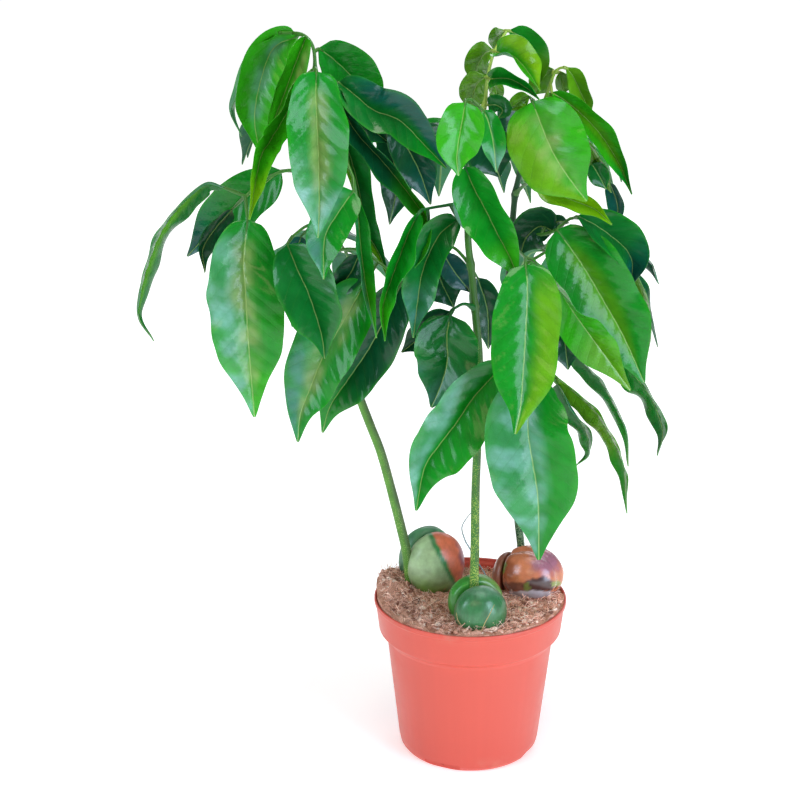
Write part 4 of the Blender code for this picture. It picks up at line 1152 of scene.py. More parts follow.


# Pale, grey and straw tones on these leaflets are painted sheen; dark, teal and slate are partly painted
# shade.
FRONDS = [
    Frond("left_crown_frond", "left", None, [(-93, 440, -10), (-99, 448, -16), (-111, 449, -26)], [
        Leaflet([(-102, 447), (-116, 440), (-124, 420), (-127.5, 400), (-125, 380)], (-18, -30), 34, 32, -12,
                tone=Tone.BRIGHT, band=Tone.PALE),
        Leaflet([(-113, 449), (-127, 441), (-134, 431), (-138.5, 418), (-141.5, 405), (-135, 390)],
                (-24, 2), 24, 20, -78, tone=Tone.BRIGHT, tip=Tone.DEEP),
        Leaflet([(-97, 447), (-104, 430), (-111, 412), (-117, 397), (-119, 383)], (-30, -44), 26, 58, -4,
                tone=Tone.BRIGHT, back=Tone.STRAW),
        Leaflet([(-90, 440), (-84, 436), (-74, 427), (-65, 417), (-54, 403)], (-6, 14), 34, 34, -6,
                tone=Tone.MID, tip=Tone.BRIGHT),
    ], "young_leaf"),
    Frond("left_side_frond", "left", 366,
          [(-100, 369, -4), (-110, 370, -10), (-122, 365, -20), (-134, 355, -30)], [
        Leaflet([(-146, 360), (-158, 362), (-178, 343), (-192, 317), (-200, 285), (-191, 267)],
                (-32, -38), 24, 20, -70, tone=Tone.DEEP, tip=Tone.DEEP, band=Tone.OLIVE),
        Leaflet([(-113, 370), (-123, 362), (-135, 353), (-146, 344), (-169, 319)], (8, 22), 34, 30,
                tone=Tone.MID, tip=Tone.TEAL),
        Leaflet([(-133, 341), (-136, 316), (-135.5, 300), (-134.5, 267), (-132, 219)], (-36, -52), 44, 12,
                tone=Tone.MID, tip=Tone.BRIGHT, side=Tone.PALE, band=Tone.STRAW),
        Leaflet([(-142, 347), (-152, 336), (-160, 323), (-159, 309)],
                (-16, -22), 14, 30, -30, tone=Tone.DARK),
    ]),
    Frond("left_front_frond", "left", 395, [(-94, 414, -22), (-95, 426, -38), (-92, 429, -54)], [
        Leaflet([(-91.5, 427), (-92, 412), (-91, 380), (-91, 350), (-92, 330)], (-62, -80), 38, 31,
                tone=Tone.MID, tip=Tone.PALE, band=Tone.STRAW),
        Leaflet([(-98, 424), (-108, 405), (-119, 387), (-125, 376), (-132, 341)], (-48, -70), 26, 62, -8,
                tone=Tone.BRIGHT, tip=Tone.LIME),
    ], "young_leaf"),
    Frond("left_inner_frond", "left", 408,
          [(-87, 410, -12), (-80, 417, -14), (-68, 411, -8), (-55, 402, -4)], [
        Leaflet([(-79, 421), (-70, 414), (-59, 405), (-44, 399), (-29, 384), (-17, 371.5)],
                (-22, -32), 32, 42, -10, tone=Tone.DEEP, tip=Tone.MID, back=Tone.TEAL),
        Leaflet([(-78, 417), (-76, 405), (-68, 391), (-54, 375.5), (-43.5, 362.5), (-35, 351), (-29, 341),
                 (-31, 325)], (-26, -32), 26, 64, 10, tone=Tone.DARK, tip=Tone.BRIGHT),
        Leaflet([(-82, 399), (-74, 382), (-68, 360), (-64, 336), (-56, 320), (-51, 306)],
                (-12, -30), 22, 52, -10, tone=Tone.DEEP, side=Tone.OLIVE),
        Leaflet([(-74, 408), (-68, 400), (-60, 394), (-50, 386)], (-2, -2), 22, 40, tone=Tone.DARK),
        Leaflet([(-48, 396), (-39, 382), (-32, 368), (-26, 350)],
                (0, -4), 26, 30, tone=Tone.DARK, tip=Tone.TEAL),
        Leaflet([(-52, 394), (-48, 378), (-46, 360), (-50, 338)], (8, 2), 22, 20, tone=Tone.DARK),
    ]),
    Frond("left_low_frond", "left", 338, [(-93, 338, -14), (-99, 337, -26), (-107, 331, -40)], [
        Leaflet([(-110, 326), (-104, 310), (-98, 296), (-91, 272), (-89, 256)],
                (-48, -62), 40, 38, tone=Tone.DEEP),
        Leaflet([(-102, 331), (-106, 318), (-112, 300)], (-16, -20), 22, 30, -20, tone=Tone.TEAL),
    ]),
    Frond("left_forward_frond", "left", 318,
          [(-82, 322, -14), (-70, 323, -26), (-56, 315, -36), (-45, 305, -40)], [
        Leaflet([(-64, 304), (-76.5, 281), (-90, 257), (-98, 237), (-104, 221), (-106, 203)],
                (-36, -48), 40, 25, 12, tone=Tone.MID, side=Tone.GREY, band=Tone.STRAW),
        Leaflet([(-43, 303), (-50, 287), (-62, 263), (-75, 243), (-86, 226), (-91, 209)], (-40, -30), 34, 24,
                tone=Tone.DARK, tip=Tone.MID),
        Leaflet([(-68, 320), (-73, 309), (-80, 300), (-86, 293)], (-30, -36), 20, 35, tone=Tone.DARK),
    ]),
    Frond("left_centre_frond", "left", 386, [(-86, 388, -22), (-78, 382, -36), (-71, 366, -48)], [
        Leaflet([(-71, 358), (-80, 345), (-88, 330), (-89, 305)],
                (-54, -74), 25, 24, tone=Tone.MID, side=Tone.GREY),
        Leaflet([(-69, 352), (-67, 325), (-64, 300), (-58, 269)], (-50, -54), 16, 60, -12,
                tone=Tone.MID, side=Tone.GREY, tip=Tone.BRIGHT),
    ], "young_leaf"),
    Frond("middle_crown_frond", "middle", 408,
          [(5, 411, -13), (6, 423, -12), (9.5, 438, -8), (16.5, 450, -2)], [
        Leaflet([(18, 450), (25, 446), (31, 438), (35, 430), (36.5, 421)], (-2, 8), 23, 47, -8,
                tone=Tone.MID, tip=Tone.OLIVE, side=Tone.OLIVE),
        Leaflet([(15, 450), (12, 447), (10, 438)], (0, 28), 12, 24, tone=Tone.OLIVE),
        Leaflet([(8.5, 439), (4, 437), (0, 430), (-2, 420)], (-6, 20), 18, 24, tone=Tone.OLIVE),
        Leaflet([(5, 424), (1, 421), (-2, 415), (-4, 405)], (-10, 12), 20, 24, tone=Tone.OLIVE),
        Leaflet([(11, 438), (20, 436), (28, 428), (36, 416)], (-12, -46), 24, 50, -26,
                tone=Tone.BRIGHT, back=Tone.LIME),
        Leaflet([(8, 423), (18, 423), (28, 418), (36, 411)], (-18, -52), 20, 64, tone=Tone.MID),
        Leaflet([(7, 421), (11, 417), (11, 408)], (-6, 14), 10, 24, tone=Tone.OLIVE),
        Leaflet([(6.5, 408), (11, 408), (15, 405), (12, 400)], (-16, -24), 13, 30, tone=Tone.DEEP),
    ], "young_leaf", Tone.YOUNG_STALK),
    Frond("middle_front_frond", "middle", 400, [(1, 407, -26), (-3, 411, -40), (-6, 411, -52)], [
        Leaflet([(-6.5, 409.5), (-8, 400), (-10, 388), (-11, 377), (-10, 367)], (-58, -68), 28, 26,
                tone=Tone.BRIGHT, side=Tone.BRIGHT),
        Leaflet([(4, 405), (7, 398), (10, 386), (12, 369)], (-42, -52), 15, 20, tone=Tone.MID, tip=Tone.PALE),
    ], "young_leaf"),
    Frond("middle_low_frond", "middle", 368, [(-4, 375, -32), (-6, 374, -46)], [
        Leaflet([(-6, 372), (-1, 360), (6, 347), (13, 333), (20, 320), (27, 304)], (-50, -64), 36, 46, 12,
                tone=Tone.MID, tip=Tone.BRIGHT),
        # Painted highlight: this small leaflet is pale sheen all over.
        Leaflet([(-8, 360), (-7, 350), (-4, 341), (3, 331)], (-42, -46), 13, 24, tone=Tone.PALE),
        Leaflet([(2, 392), (8, 380), (14, 366)], (-30, -34), 30, 24, tone=Tone.DARK),
    ], stalk=Tone.DEEP),
    Frond("middle_left_frond", "middle", 346, [(-10, 350, -30), (-20, 349, -38), (-31, 347, -46)], [
        Leaflet([(-10, 341), (-20, 333), (-27, 320), (-31, 308), (-33, 295), (-36, 269)], (-40, -58), 28, 42,
                tone=Tone.DEEP, tip=Tone.GREY),
        Leaflet([(-33, 345), (-38, 335), (-43, 322), (-48, 308), (-54, 288), (-53, 267)],
                (-50, -64), 24, 64, -10, tone=Tone.MID, tip=Tone.BRIGHT),
        Leaflet([(-27, 340), (-33, 322), (-40, 312), (-47, 302)], (-44, -52), 16, 60, tone=Tone.BRIGHT),
    ], stalk=Tone.DEEP),
    Frond("middle_bottom_frond", "middle", 288, [(-6, 290, -36), (-12, 287, -42)], [
        Leaflet([(-14, 285), (-22, 278), (-33, 268), (-43, 260)], (-40, -32), 22, 35, tone=Tone.DARK),
        Leaflet([(-14, 283), (-16, 270), (-15.5, 255), (-19, 240), (-25, 225)], (-46, -56), 40, 18,
                tone=Tone.DEEP, tip=Tone.GREY),
    ], stalk=Tone.DEEP),
    # Painted shade: this frond's slate and dark tones stand for the shade deep in the plant.
    Frond("middle_shaded_frond", "middle", 314, [(-6, 318, -14), (-12, 324, -4), (-20, 326, 4)], [
        Leaflet([(-18, 320), (-12, 310), (-2, 297)], (-6, -8), 18, 24, tone=Tone.SLATE),
        Leaflet([(-24, 322), (-20, 305), (-12, 288)], (6, 0), 32, 24, tone=Tone.DARK),
        Leaflet([(2, 306), (8, 286), (9, 262)], (-8, -8), 20, 24, tone=Tone.DARK),
    ], "shaded_leaf"),
    Frond("right_crown_frond", "right", None, [(40, 414, 6), (44.5, 427, 0), (49, 429.5, -3)], [
        Leaflet([(43, 415), (50, 411), (60, 403), (70, 393), (78, 382), (85, 370), (91, 356)],
                (-6, -6), 24, 60, tone=Tone.BRIGHT, tip=Tone.MID, band=Tone.OLIVE),
        Leaflet([(51, 429), (55, 424), (60, 414), (66, 402)], (-2, 10), 18, 48, tone=Tone.OLIVE),
        Leaflet([(47.5, 427), (49, 421), (49, 414)], (4, 14), 10, 24, tone=Tone.OLIVE),
        Leaflet([(43.5, 428), (38, 424), (33, 414)], (6, 24), 18, 24, tone=Tone.OLIVE),
    ], "young_leaf", Tone.YOUNG_STALK),
    Frond("right_front_frond", "right", 392, [(34, 402, -6), (33, 410, -20), (31.5, 411, -34)], [
        Leaflet([(32, 410), (36, 400), (41, 388), (46, 378), (54, 366), (65, 352)], (-40, -58), 46, 14, 10,
                tone=Tone.BRIGHT, side=Tone.OLIVE, tip=Tone.BRIGHT, band=Tone.STRAW),
        Leaflet([(39, 411), (43, 411), (48, 407)], (-6, 2), 9, 24, tone=Tone.OLIVE),
        Leaflet([(30, 413), (26, 411), (18, 405)], (-16, -12), 11, 24, tone=Tone.OLIVE),
        Leaflet([(27, 406), (19, 392), (14, 375)], (-10, -16), 22, 24, tone=Tone.DARK),
    ]),
    Frond("right_middle_frond", "right", 356, [(29, 362, 2), (33, 362, -16)], [
        Leaflet([(36, 361), (45, 357), (58, 352), (70, 347), (80, 338)], (-28, -38), 20, 54, tone=Tone.LIME),
    ], "young_leaf"),
    Frond("right_side_frond", "right", 332, [(28, 335, 10), (38, 332, -2), (48, 335, -12), (57, 342, -18),
                                             (72, 338, -12), (84, 331, -2)], [
        Leaflet([(48, 335), (57, 323), (66, 310), (78, 290), (90, 269), (103, 241)], (-26, -36), 46, 15,
                tone=Tone.MID, band=Tone.OLIVE),
        Leaflet([(60, 343), (70, 338), (80, 331), (89, 323), (93, 314), (92, 300)], (-28, -18), 34, 50, -10,
                tone=Tone.DEEP, tip=Tone.TEAL),
        Leaflet([(86, 330), (95, 321), (104, 315), (109, 302)], (0, 4), 18, 20, 74, tone=Tone.TEAL),
        Leaflet([(88, 322), (97, 304), (101, 293), (105, 278), (104, 256)],
                (2, 8), 20, 20, 60, tone=Tone.OLIVE),
        Leaflet([(76, 331), (84, 322), (93, 311)], (-8, -4), 12, 56, tone=Tone.DARK),
        Leaflet([(46, 334), (38, 337), (30, 330), (27, 320)], (0, 4), 26, 24, tone=Tone.DARK),
        Leaflet([(42, 338), (49, 340), (55, 339)], (2, 0), 9, 24, tone=Tone.DARK),
    ]),
    Frond("right_low_frond", "right", 262, [(25, 263, 6), (24, 260, -20), (26, 256, -44), (36, 252, -60),
                                            (46, 246, -68)], [
        Leaflet([(17, 251), (10, 243), (0, 231), (-10, 215), (-20, 201), (-29, 186), (-34, 158)],
                (-52, -80), 40, 32, -14, tone=Tone.MID, side=Tone.PALE),
        Leaflet([(42, 244), (37, 235), (34, 222), (34, 208), (37, 190), (41, 165), (42.5, 125)],
                (-72, -94), 49, 10, tone=Tone.MID, tip=Tone.MID, side=Tone.PALE, band=Tone.PALE),
        Leaflet([(49, 245), (60, 236), (74, 222), (85, 206), (93, 186), (96, 156)], (-62, -40), 20, 20, 66,
                tone=Tone.OLIVE, tip=Tone.MID),
        Leaflet([(51, 240), (60, 224), (68, 212), (71, 203), (71, 194), (64, 188)], (-58, -44), 20, 20, 62,
                tone=Tone.DEEP, tip=Tone.MID),
    ]),
    Frond("right_forward_frond", "right", 320,
          [(23, 322, 4), (26, 322, -22), (29, 319, -50), (30, 317, -64)], [
        Leaflet([(30, 314), (31.5, 300), (31, 270), (30, 245), (29, 226), (26, 208)], (-72, -104), 40, 10,
                tone=Tone.MID, tip=Tone.MID, back=Tone.OLIVE),
        Leaflet([(34, 317), (42, 310), (51, 298), (60, 284), (73, 266), (84, 251), (95, 236)],
                (-56, -54), 30, 20, 72, -64, tone=Tone.BRIGHT, tip=Tone.OLIVE),
    ]),
    Frond("right_lower_frond", "right", 282, [(28, 286, 14), (40, 287, 4), (54, 284, -4), (68, 277, -6),
                                              (80, 270, -4)], [
        Leaflet([(51, 283), (54, 270), (57, 249)], (-10, -18), 24, 24, tone=Tone.DARK),
        Leaflet([(57, 276), (61, 261), (70, 249), (78, 240), (88, 222), (94, 208), (95.5, 187)],
                (-12, -4), 18, 20, 66, tone=Tone.DEEP, tip=Tone.MID),
        Leaflet([(85, 266), (97, 246), (106, 234), (112, 222), (116, 208), (113, 194)], (-6, 2), 22, 20, 58,
                tone=Tone.MID, tip=Tone.DEEP),
    ], stalk=Tone.DEEP),
    Frond("right_back_frond", "right", 386, [(38, 396, 18), (52, 398, 20), (62, 390, 14), (70, 379, 8),
                                             (77, 365, 6)], [
        Leaflet([(63, 387), (68, 380), (73, 370), (79, 357)], (2, 2), 16, 20, 50, tone=Tone.OLIVE),
        Leaflet([(67, 374), (71, 368), (76, 359)], (-2, -6), 13, 24, tone=Tone.DEEP),
        Leaflet([(78, 363), (83, 350), (83, 336)], (6, 4), 12, 24, 30, tone=Tone.TEAL),
    ]),
    RuledFrond("left_rear_frond", "left", 396, [(-92, 406, 20), (-94, 418, 46), (-97, 418, 74)],
               pairs=2, long=68, wide=28, seed=11),
    RuledFrond("left_rear_low_frond", "left", 326, [(-86, 332, 22), (-82, 332, 46), (-76, 322, 72)],
               pairs=2, long=78, wide=30, seed=12),
    RuledFrond("middle_rear_frond", "middle", 382, [(-5, 392, 12), (-11, 400, 36), (-15, 398, 60)],
               pairs=2, long=72, wide=28, seed=13),
    RuledFrond("right_rear_frond", "right", 374, [(38, 388, 34), (48, 398, 56), (54, 398, 80)],
               pairs=2, long=50, wide=26, seed=14),
    RuledFrond("right_rear_low_frond", "right", 308, [(36, 318, 40), (50, 325, 58), (66, 322, 78)],
               pairs=2, long=70, wide=28, seed=15),
]


@dataclass(frozen=True)
class Patch:
    """A tone that covers a seed half on the right of a line, for someone at the front who looks along it."""

    tone: str
    start: tuple[float, float]
    end: tuple[float, float]
    soft: float = 1.5
    ragged: float = 2.2

    def share(self, points: np.ndarray) -> np.ndarray:
        """Say how much of the patch's tone each point takes.

        Args:
            points: Points of the seed half.

        Returns:
            A share from 0 to 1 for each point.
        """
        spots = seen(points)
        run = np.array(self.end) - np.array(self.start)
        run = run / np.linalg.norm(run)
        right = (spots[..., 0] - self.start[0]) * run[1] - (spots[..., 1] - self.start[1]) * run[0]
        return eased(-self.soft, self.soft, right + field_noise(points, 5.0, 2.0) * self.ragged)


@dataclass(frozen=True)
class Blot:
    """A tone that covers an oval spot of a seed half, as seen from the front."""

    tone: str
    centre: tuple[float, float]
    radii: tuple[float, float]
    soft: float = 0.2
    ragged: float = 0.35

    def share(self, points: np.ndarray) -> np.ndarray:
        """Say how much of the blot's tone each point takes.

        Args:
            points: Points of the seed half.

        Returns:
            A share from 0 to 1 for each point.
        """
        away = np.linalg.norm((seen(points) - np.array(self.centre)) / np.array(self.radii), axis=-1)
        away = away + field_noise(points, 3.0, 6.0) * self.ragged
        return eased(1 + self.soft, 1 - self.soft, away)


@dataclass(frozen=True)
class SeedHalf:
    """Half of a split seed: a dome with a flat inner side, sunk a little in the soil."""

    name: str
    centre: tuple[float, float, float]
    heading: float
    offset: float
    radii: tuple[float, float, float]
    gap: float
    slot: str
    skin: SeedSkin
    tone: str
    patches: Sequence[Patch | Blot] = ()
    waist: float = 0.0
    waist_place: float = -0.12
    waist_reach: float = 0.2
    dents: tuple[float, float] = (0.55, 0.022)
    fine_dents: tuple[float, float] = (0.2, 0.006)
    edge_softness: float = 0.9
    rings: int = 56
    steps: int = 84

    def build(self) -> bpy.types.Object:
        """Make the half, with a rounded edge to its flat side and the soft dents of a living seed.

        Returns:
            The seed half.
        """
        rise = np.linspace(-math.pi / 2, math.pi / 2, self.rings)[1:-1]
        turn = np.linspace(0.0, math.tau, self.steps, endpoint=False)
        grid = np.stack([np.outer(np.cos(rise), np.cos(turn)), np.outer(np.cos(rise), np.sin(turn)),
                         np.repeat(np.sin(rise)[:, None], self.steps, axis=1)], axis=-1)
        ball = np.vstack([grid.reshape(-1, 3), [[0.0, 0.0, -1.0], [0.0, 0.0, 1.0]]])
        dents = (field_noise(ball, self.dents[0], self.heading) * self.dents[1]
                 + field_noise(ball, self.fine_dents[0], 5.0) * self.fine_dents[1])
        pinch = np.exp(-((ball[:, 1] - self.waist_place) / self.waist_reach) ** 2) * (ball[:, 2] > -0.9)
        local = ball * np.array(self.radii) * (1 + dents - self.waist * pinch)[:, None]
        flat = self.gap / 2 - self.offset
        local[:, 0] = flat + self.edge_softness * np.logaddexp(0.0, (local[:, 0] - flat) / self.edge_softness)
        angle = math.radians(self.heading)
        ahead = np.array([math.cos(angle), math.sin(angle), 0.0])
        aside = np.array([-math.sin(angle), math.cos(angle), 0.0])
        points = (np.array(self.centre) + ahead * self.offset + np.outer(local[:, 0], ahead)
                  + np.outer(local[:, 1], aside) + np.outer(local[:, 2], [0.0, 0.0, 1.0]))
        tones = np.broadcast_to(linear(self.tone), points.shape).copy()
        for patch in self.patches:
            share = patch.share(points)[:, None]
            tones = tones * (1 - share) + linear(patch.tone) * share
        shell = Shell()
        shell.add(points, ring_faces(len(rise), self.steps), 0, tones)
        made = shell.build(self.name.replace("half", "cotyledon"), [self.skin.build()])
        return settle(made, self.slot, self.name)


LEFT_SEED = (-24.5, 15.5)
MIDDLE_SEED = (3.2, -33.5)
RIGHT_SEED = (24.5, 12.0)
SEED_HALVES = [
    SeedHalf("left_seed_front_half", (*LEFT_SEED, 118.3), -68.0, 8.0, (13.5, 18.8, 21.2), 2.0, "green_seed",
             SeedSkin("green seed skin, part browned", 0.36), "#a3c08e",
             (Patch("#6f9f3c", (-60.0, 114.0), (0.0, 104.0), 6.0),
              Patch("#2f7a3c", (-10.0, 106.0), (-29.0, 146.0), 1.2, 0.8),
              Patch("#cf6a48", (-7.0, 106.0), (-25.5, 146.0), 0.8, 0.7),
              Patch("#8c4a52", (-3.6, 104.0), (-9.0, 146.0), 1.6))),
    SeedHalf("left_seed_back_half", (*LEFT_SEED, 116.5), 112.0, 7.0, (12.5, 18.4, 21.5), 2.0, "green_seed",
             SeedSkin("green seed skin, dull", 0.42), "#4f8a5e",
             (Patch("#7a4a50", (-8.0, 110.0), (-14.0, 140.0)),)),
    SeedHalf("middle_seed_front_half", (*MIDDLE_SEED, 108.5), -78.0, 7.0, (12.0, 16.2, 16.4), 1.6,
             "dark_seed", SeedSkin("dark green seed skin", 0.3, 0.35, 3.0, 0.22), "#6a9c78",
             (Patch("#86b08a", (20.0, 117.0), (-20.0, 117.0), 5.0, 4.0),
              Patch("#3a7a48", (-24.0, 103.0), (24.0, 101.0), 4.0, 3.0))),
    SeedHalf("middle_seed_back_half", (*MIDDLE_SEED, 110.0), 102.0, 6.0, (11.5, 17.0, 17.0), 1.6, "dark_seed",
             SeedSkin("bright green seed skin", 0.3, 0.35), "#3f9436",
             (Patch("#6f9f4a", (10.0, 100.0), (2.0, 130.0), 3.0),)),
    SeedHalf("right_seed_main_half", (*RIGHT_SEED, 113.5), -25.0, 15.0, (21.0, 18.0, 17.5), 1.2, "brown_seed",
             SeedSkin("browned seed skin", 0.24, 0.7, 9.0), "#d88058",
             (Blot("#b8788a", (47.0, 124.0), (9.0, 9.0), 0.5),
              Blot("#a85a34", (22.0, 118.0), (7.0, 8.0), 0.4),
              Blot("#6b8f2a", (19.6, 121.5), (2.4, 5.5)), Blot("#7c4a38", (30.0, 106.5), (16.0, 3.4), 0.3),
              Blot("#4a2c2a", (44.0, 108.0), (10.0, 5.0), 0.15), Blot("#8f9a3c", (53.5, 109.0), (3.2, 1.9)),
              Blot("#76803c", (35.5, 106.0), (1.8, 3.6)), Blot("#c4bfc6", (37.0, 101.6), (17.5, 2.5), 0.2)),
             waist=0.12),
    SeedHalf("right_seed_small_half", (*RIGHT_SEED, 110.0), 155.0, 1.0, (8.5, 13.6, 14.0), 1.2, "brown_seed",
             SeedSkin("browned seed skin, rim", 0.32, 0.3), "#9a5c44"),
]


@dataclass(frozen=True)
class Pot:
    """The moulded nursery pot: a tapered body, a banded rim and four drainage recesses in its foot."""

    height: float = 101.0
    rim_radius: float = 60.0
    lip_depth: float = 2.8
    band_depth: float = 20.6
    band_foot_radius: float = 57.0
    body_top_radius: float = 52.0
    foot_radius: float = 44.4
    foot_height: float = 8.0
    base_radius: float = 40.6
    wall: float = 1.2
    steps: int = 180
    recess_angles: tuple[float, ...] = (-25.0, 65.0, 155.0, -115.0)
    recess_width: float = 24.0
    recess_height: float = 4.5
    recess_reach: float = 40.2
    recess_over: float = 8.0
    recess_under: float = 6.0
    recess_edge: float = 1.1
    corner: float = 0.55
    sharp: float = 35.0
    drain_radius: float = 1.2
    drain_height: float = 3.0
    drain_depth: float = 6.0
    finish: MouldedPolypropylene = field(default_factory=MouldedPolypropylene)

    def outside(self) -> list[Spot]:
        """List the outer outline as (radius, height), from the rim down to the base.

        Returns:
            The corners of the outline.
        """
        band_foot = self.height - self.band_depth
        return [(self.rim_radius, self.height), (self.rim_radius, self.height - self.lip_depth),
                (self.rim_radius - 1.0, self.height - self.lip_depth - 0.8),
                (self.band_foot_radius, band_foot + 0.4), (self.band_foot_radius - 0.8, band_foot - 0.6),
                (self.body_top_radius + 1.2, band_foot - 3.0), (self.body_top_radius, band_foot - 5.6),
                (self.foot_radius, self.foot_height), (self.foot_radius - 1.0, self.foot_height * 0.38),
                (self.base_radius + 1.1, 0.7), (self.base_radius, 0.0)]

    def inside(self) -> list[Spot]:
        """List the inner outline as (radius, height), from the base up to the rim.

        Returns:
            The corners of the outline.
        """
        band_foot = self.height - self.band_depth
        wall = self.wall
        floor = wall + 0.4
        return [(self.recess_reach - wall - 1.0, floor),
                (self.recess_reach - wall, self.recess_height + wall + 1.0),
                (self.foot_radius - wall, self.foot_height + 1.0),
                (self.body_top_radius - wall, band_foot - 5.4),
                (self.body_top_radius + 0.4 - wall, band_foot - 2.4),
                (self.band_foot_radius - wall, band_foot + 0.6),
                (self.rim_radius - 1.0 - wall, self.height - self.lip_depth - 0.8),
                (self.rim_radius - wall, self.height - self.lip_depth + 0.6),
                (self.rim_radius - wall, self.height)]

    @staticmethod
    def eased_outline(corners: Sequence[Spot], radius: float) -> list[tuple[float, float]]:
        """Round each inner corner of an outline.

        Args:
            corners: The corners, as (radius, height).
            radius: How far from its corner a rounding starts, at most.

        Returns:
            The points of the rounded outline.
        """
        points = [np.array(corner, float) for corner in corners]
        rounded = [points[0]]
        for before, corner, after in zip(points, points[1:], points[2:]):
            reach = min(radius, np.linalg.norm(before - corner) * 0.45, np.linalg.norm(after - corner) * 0.45)
            start = corner + (before - corner) / np.linalg.norm(before - corner) * reach
            end = corner + (after - corner) / np.linalg.norm(after - corner) * reach
            rounded += [start * (1 - t) ** 2 + corner * 2 * t * (1 - t) + end * t ** 2
                        for t in np.linspace(0, 1, 4)]
        return [tuple(point) for point in [*rounded, points[-1]]]

    def build(self) -> bpy.types.Object:
        """Make the pot: turned in one go, then cut by the recesses.

        Returns:
            The pot.
        """
        outline = self.eased_outline([(0.0, 0.0), *self.outside()[::-1], *self.inside()[::-1],
                                      (0.0, self.wall + 0.4)], self.corner)
        profile = np.array(outline)
        turns = np.linspace(0.0, math.tau, self.steps, endpoint=False)
        ring = profile[1:-1]
        points = np.stack([np.outer(ring[:, 0], np.cos(turns)), np.outer(ring[:, 0], np.sin(turns)),
                           np.repeat(ring[:, 1:], self.steps, axis=1)], axis=-1)
        places = np.stack([np.broadcast_to(turns * self.body_top_radius, points.shape[:2]),
                           points[..., 2], np.zeros(points.shape[:2])], axis=-1)
        ends = np.array([[0.0, 0.0, profile[0, 1]], [0.0, 0.0, profile[-1, 1]]])
        shell = Shell()
        shell.add(np.vstack([points.reshape(-1, 3), ends]), ring_faces(len(ring), self.steps), 0,
                  linear(self.finish.colour), np.vstack([places.reshape(-1, 3), ends]))
        pot = shell.build("nursery_pot", [self.finish.build()], self.sharp)
        for angle in self.recess_angles:
            self.cut(pot, self.recess_block(), angle)
            self.cut(pot, self.drain_drill(), angle)
        pot.data.shade_smooth()
        pot.data.set_sharp_from_angle(angle=math.radians(self.sharp))
        return settle(pot, "pot", "pot")

    def recess_block(self) -> bmesh.types.BMesh:
        """Make the rounded block that a recess in the pot's lower edge is cut with.

        Returns:
            The block, in millimetres.
        """
        bm = bmesh.new()
        bmesh.ops.create_cube(bm, size=1.0)
        depth = self.foot_radius + self.recess_over - self.recess_reach
        bmesh.ops.scale(bm, vec=(depth, self.recess_width, self.recess_height + self.recess_under),
                        verts=bm.verts)
        bmesh.ops.bevel(bm, geom=bm.edges, offset=self.recess_edge, segments=3, affect="EDGES", profile=0.5)
        middle = (self.recess_height - self.recess_under) / 2
        bmesh.ops.translate(bm, vec=(self.recess_reach + depth / 2, 0.0, middle), verts=bm.verts)
        return bm

    def drain_drill(self) -> bmesh.types.BMesh:
        """Make the round drill for the drain hole at the back of a recess.

        Returns:
            The drill, in millimetres.
        """
        bm = bmesh.new()
        bmesh.ops.create_cone(bm, cap_ends=True, segments=24, radius1=self.drain_radius,
                              radius2=self.drain_radius, depth=self.drain_depth)
        bmesh.ops.rotate(bm, cent=(0, 0, 0), matrix=Matrix.Rotation(math.pi / 2, 3, "Y"), verts=bm.verts)
        bmesh.ops.translate(bm, vec=(self.recess_reach, 0.0, self.drain_height), verts=bm.verts)
        return bm

    @staticmethod
    def cut(pot: bpy.types.Object, bm: bmesh.types.BMesh, angle: float) -> None:
        """Cut a shape out of the pot at an angle round its axis, in degrees.

        Args:
            pot: The pot.
            bm: The shape, in millimetres, which is used up.
            angle: Where round the axis it cuts, in degrees.
        """
        bmesh.ops.scale(bm, vec=(MM, MM, MM), verts=bm.verts)
        mesh = bpy.data.meshes.new("cutter")
        bm.to_mesh(mesh)
        bm.free()
        block = bpy.data.objects.new("cutter", mesh)
        bpy.context.scene.collection.objects.link(block)
        block.rotation_euler.z = math.radians(angle)
        boolean = pot.modifiers.new("Cut", "BOOLEAN")
        boolean.operation = "DIFFERENCE"
        boolean.object = block
        graph = bpy.context.evaluated_depsgraph_get()
        graph.update()
        made = bpy.data.meshes.new_from_object(pot.evaluated_get(graph))
        pot.modifiers.clear()
        pot.data = made
        bpy.data.objects.remove(block)


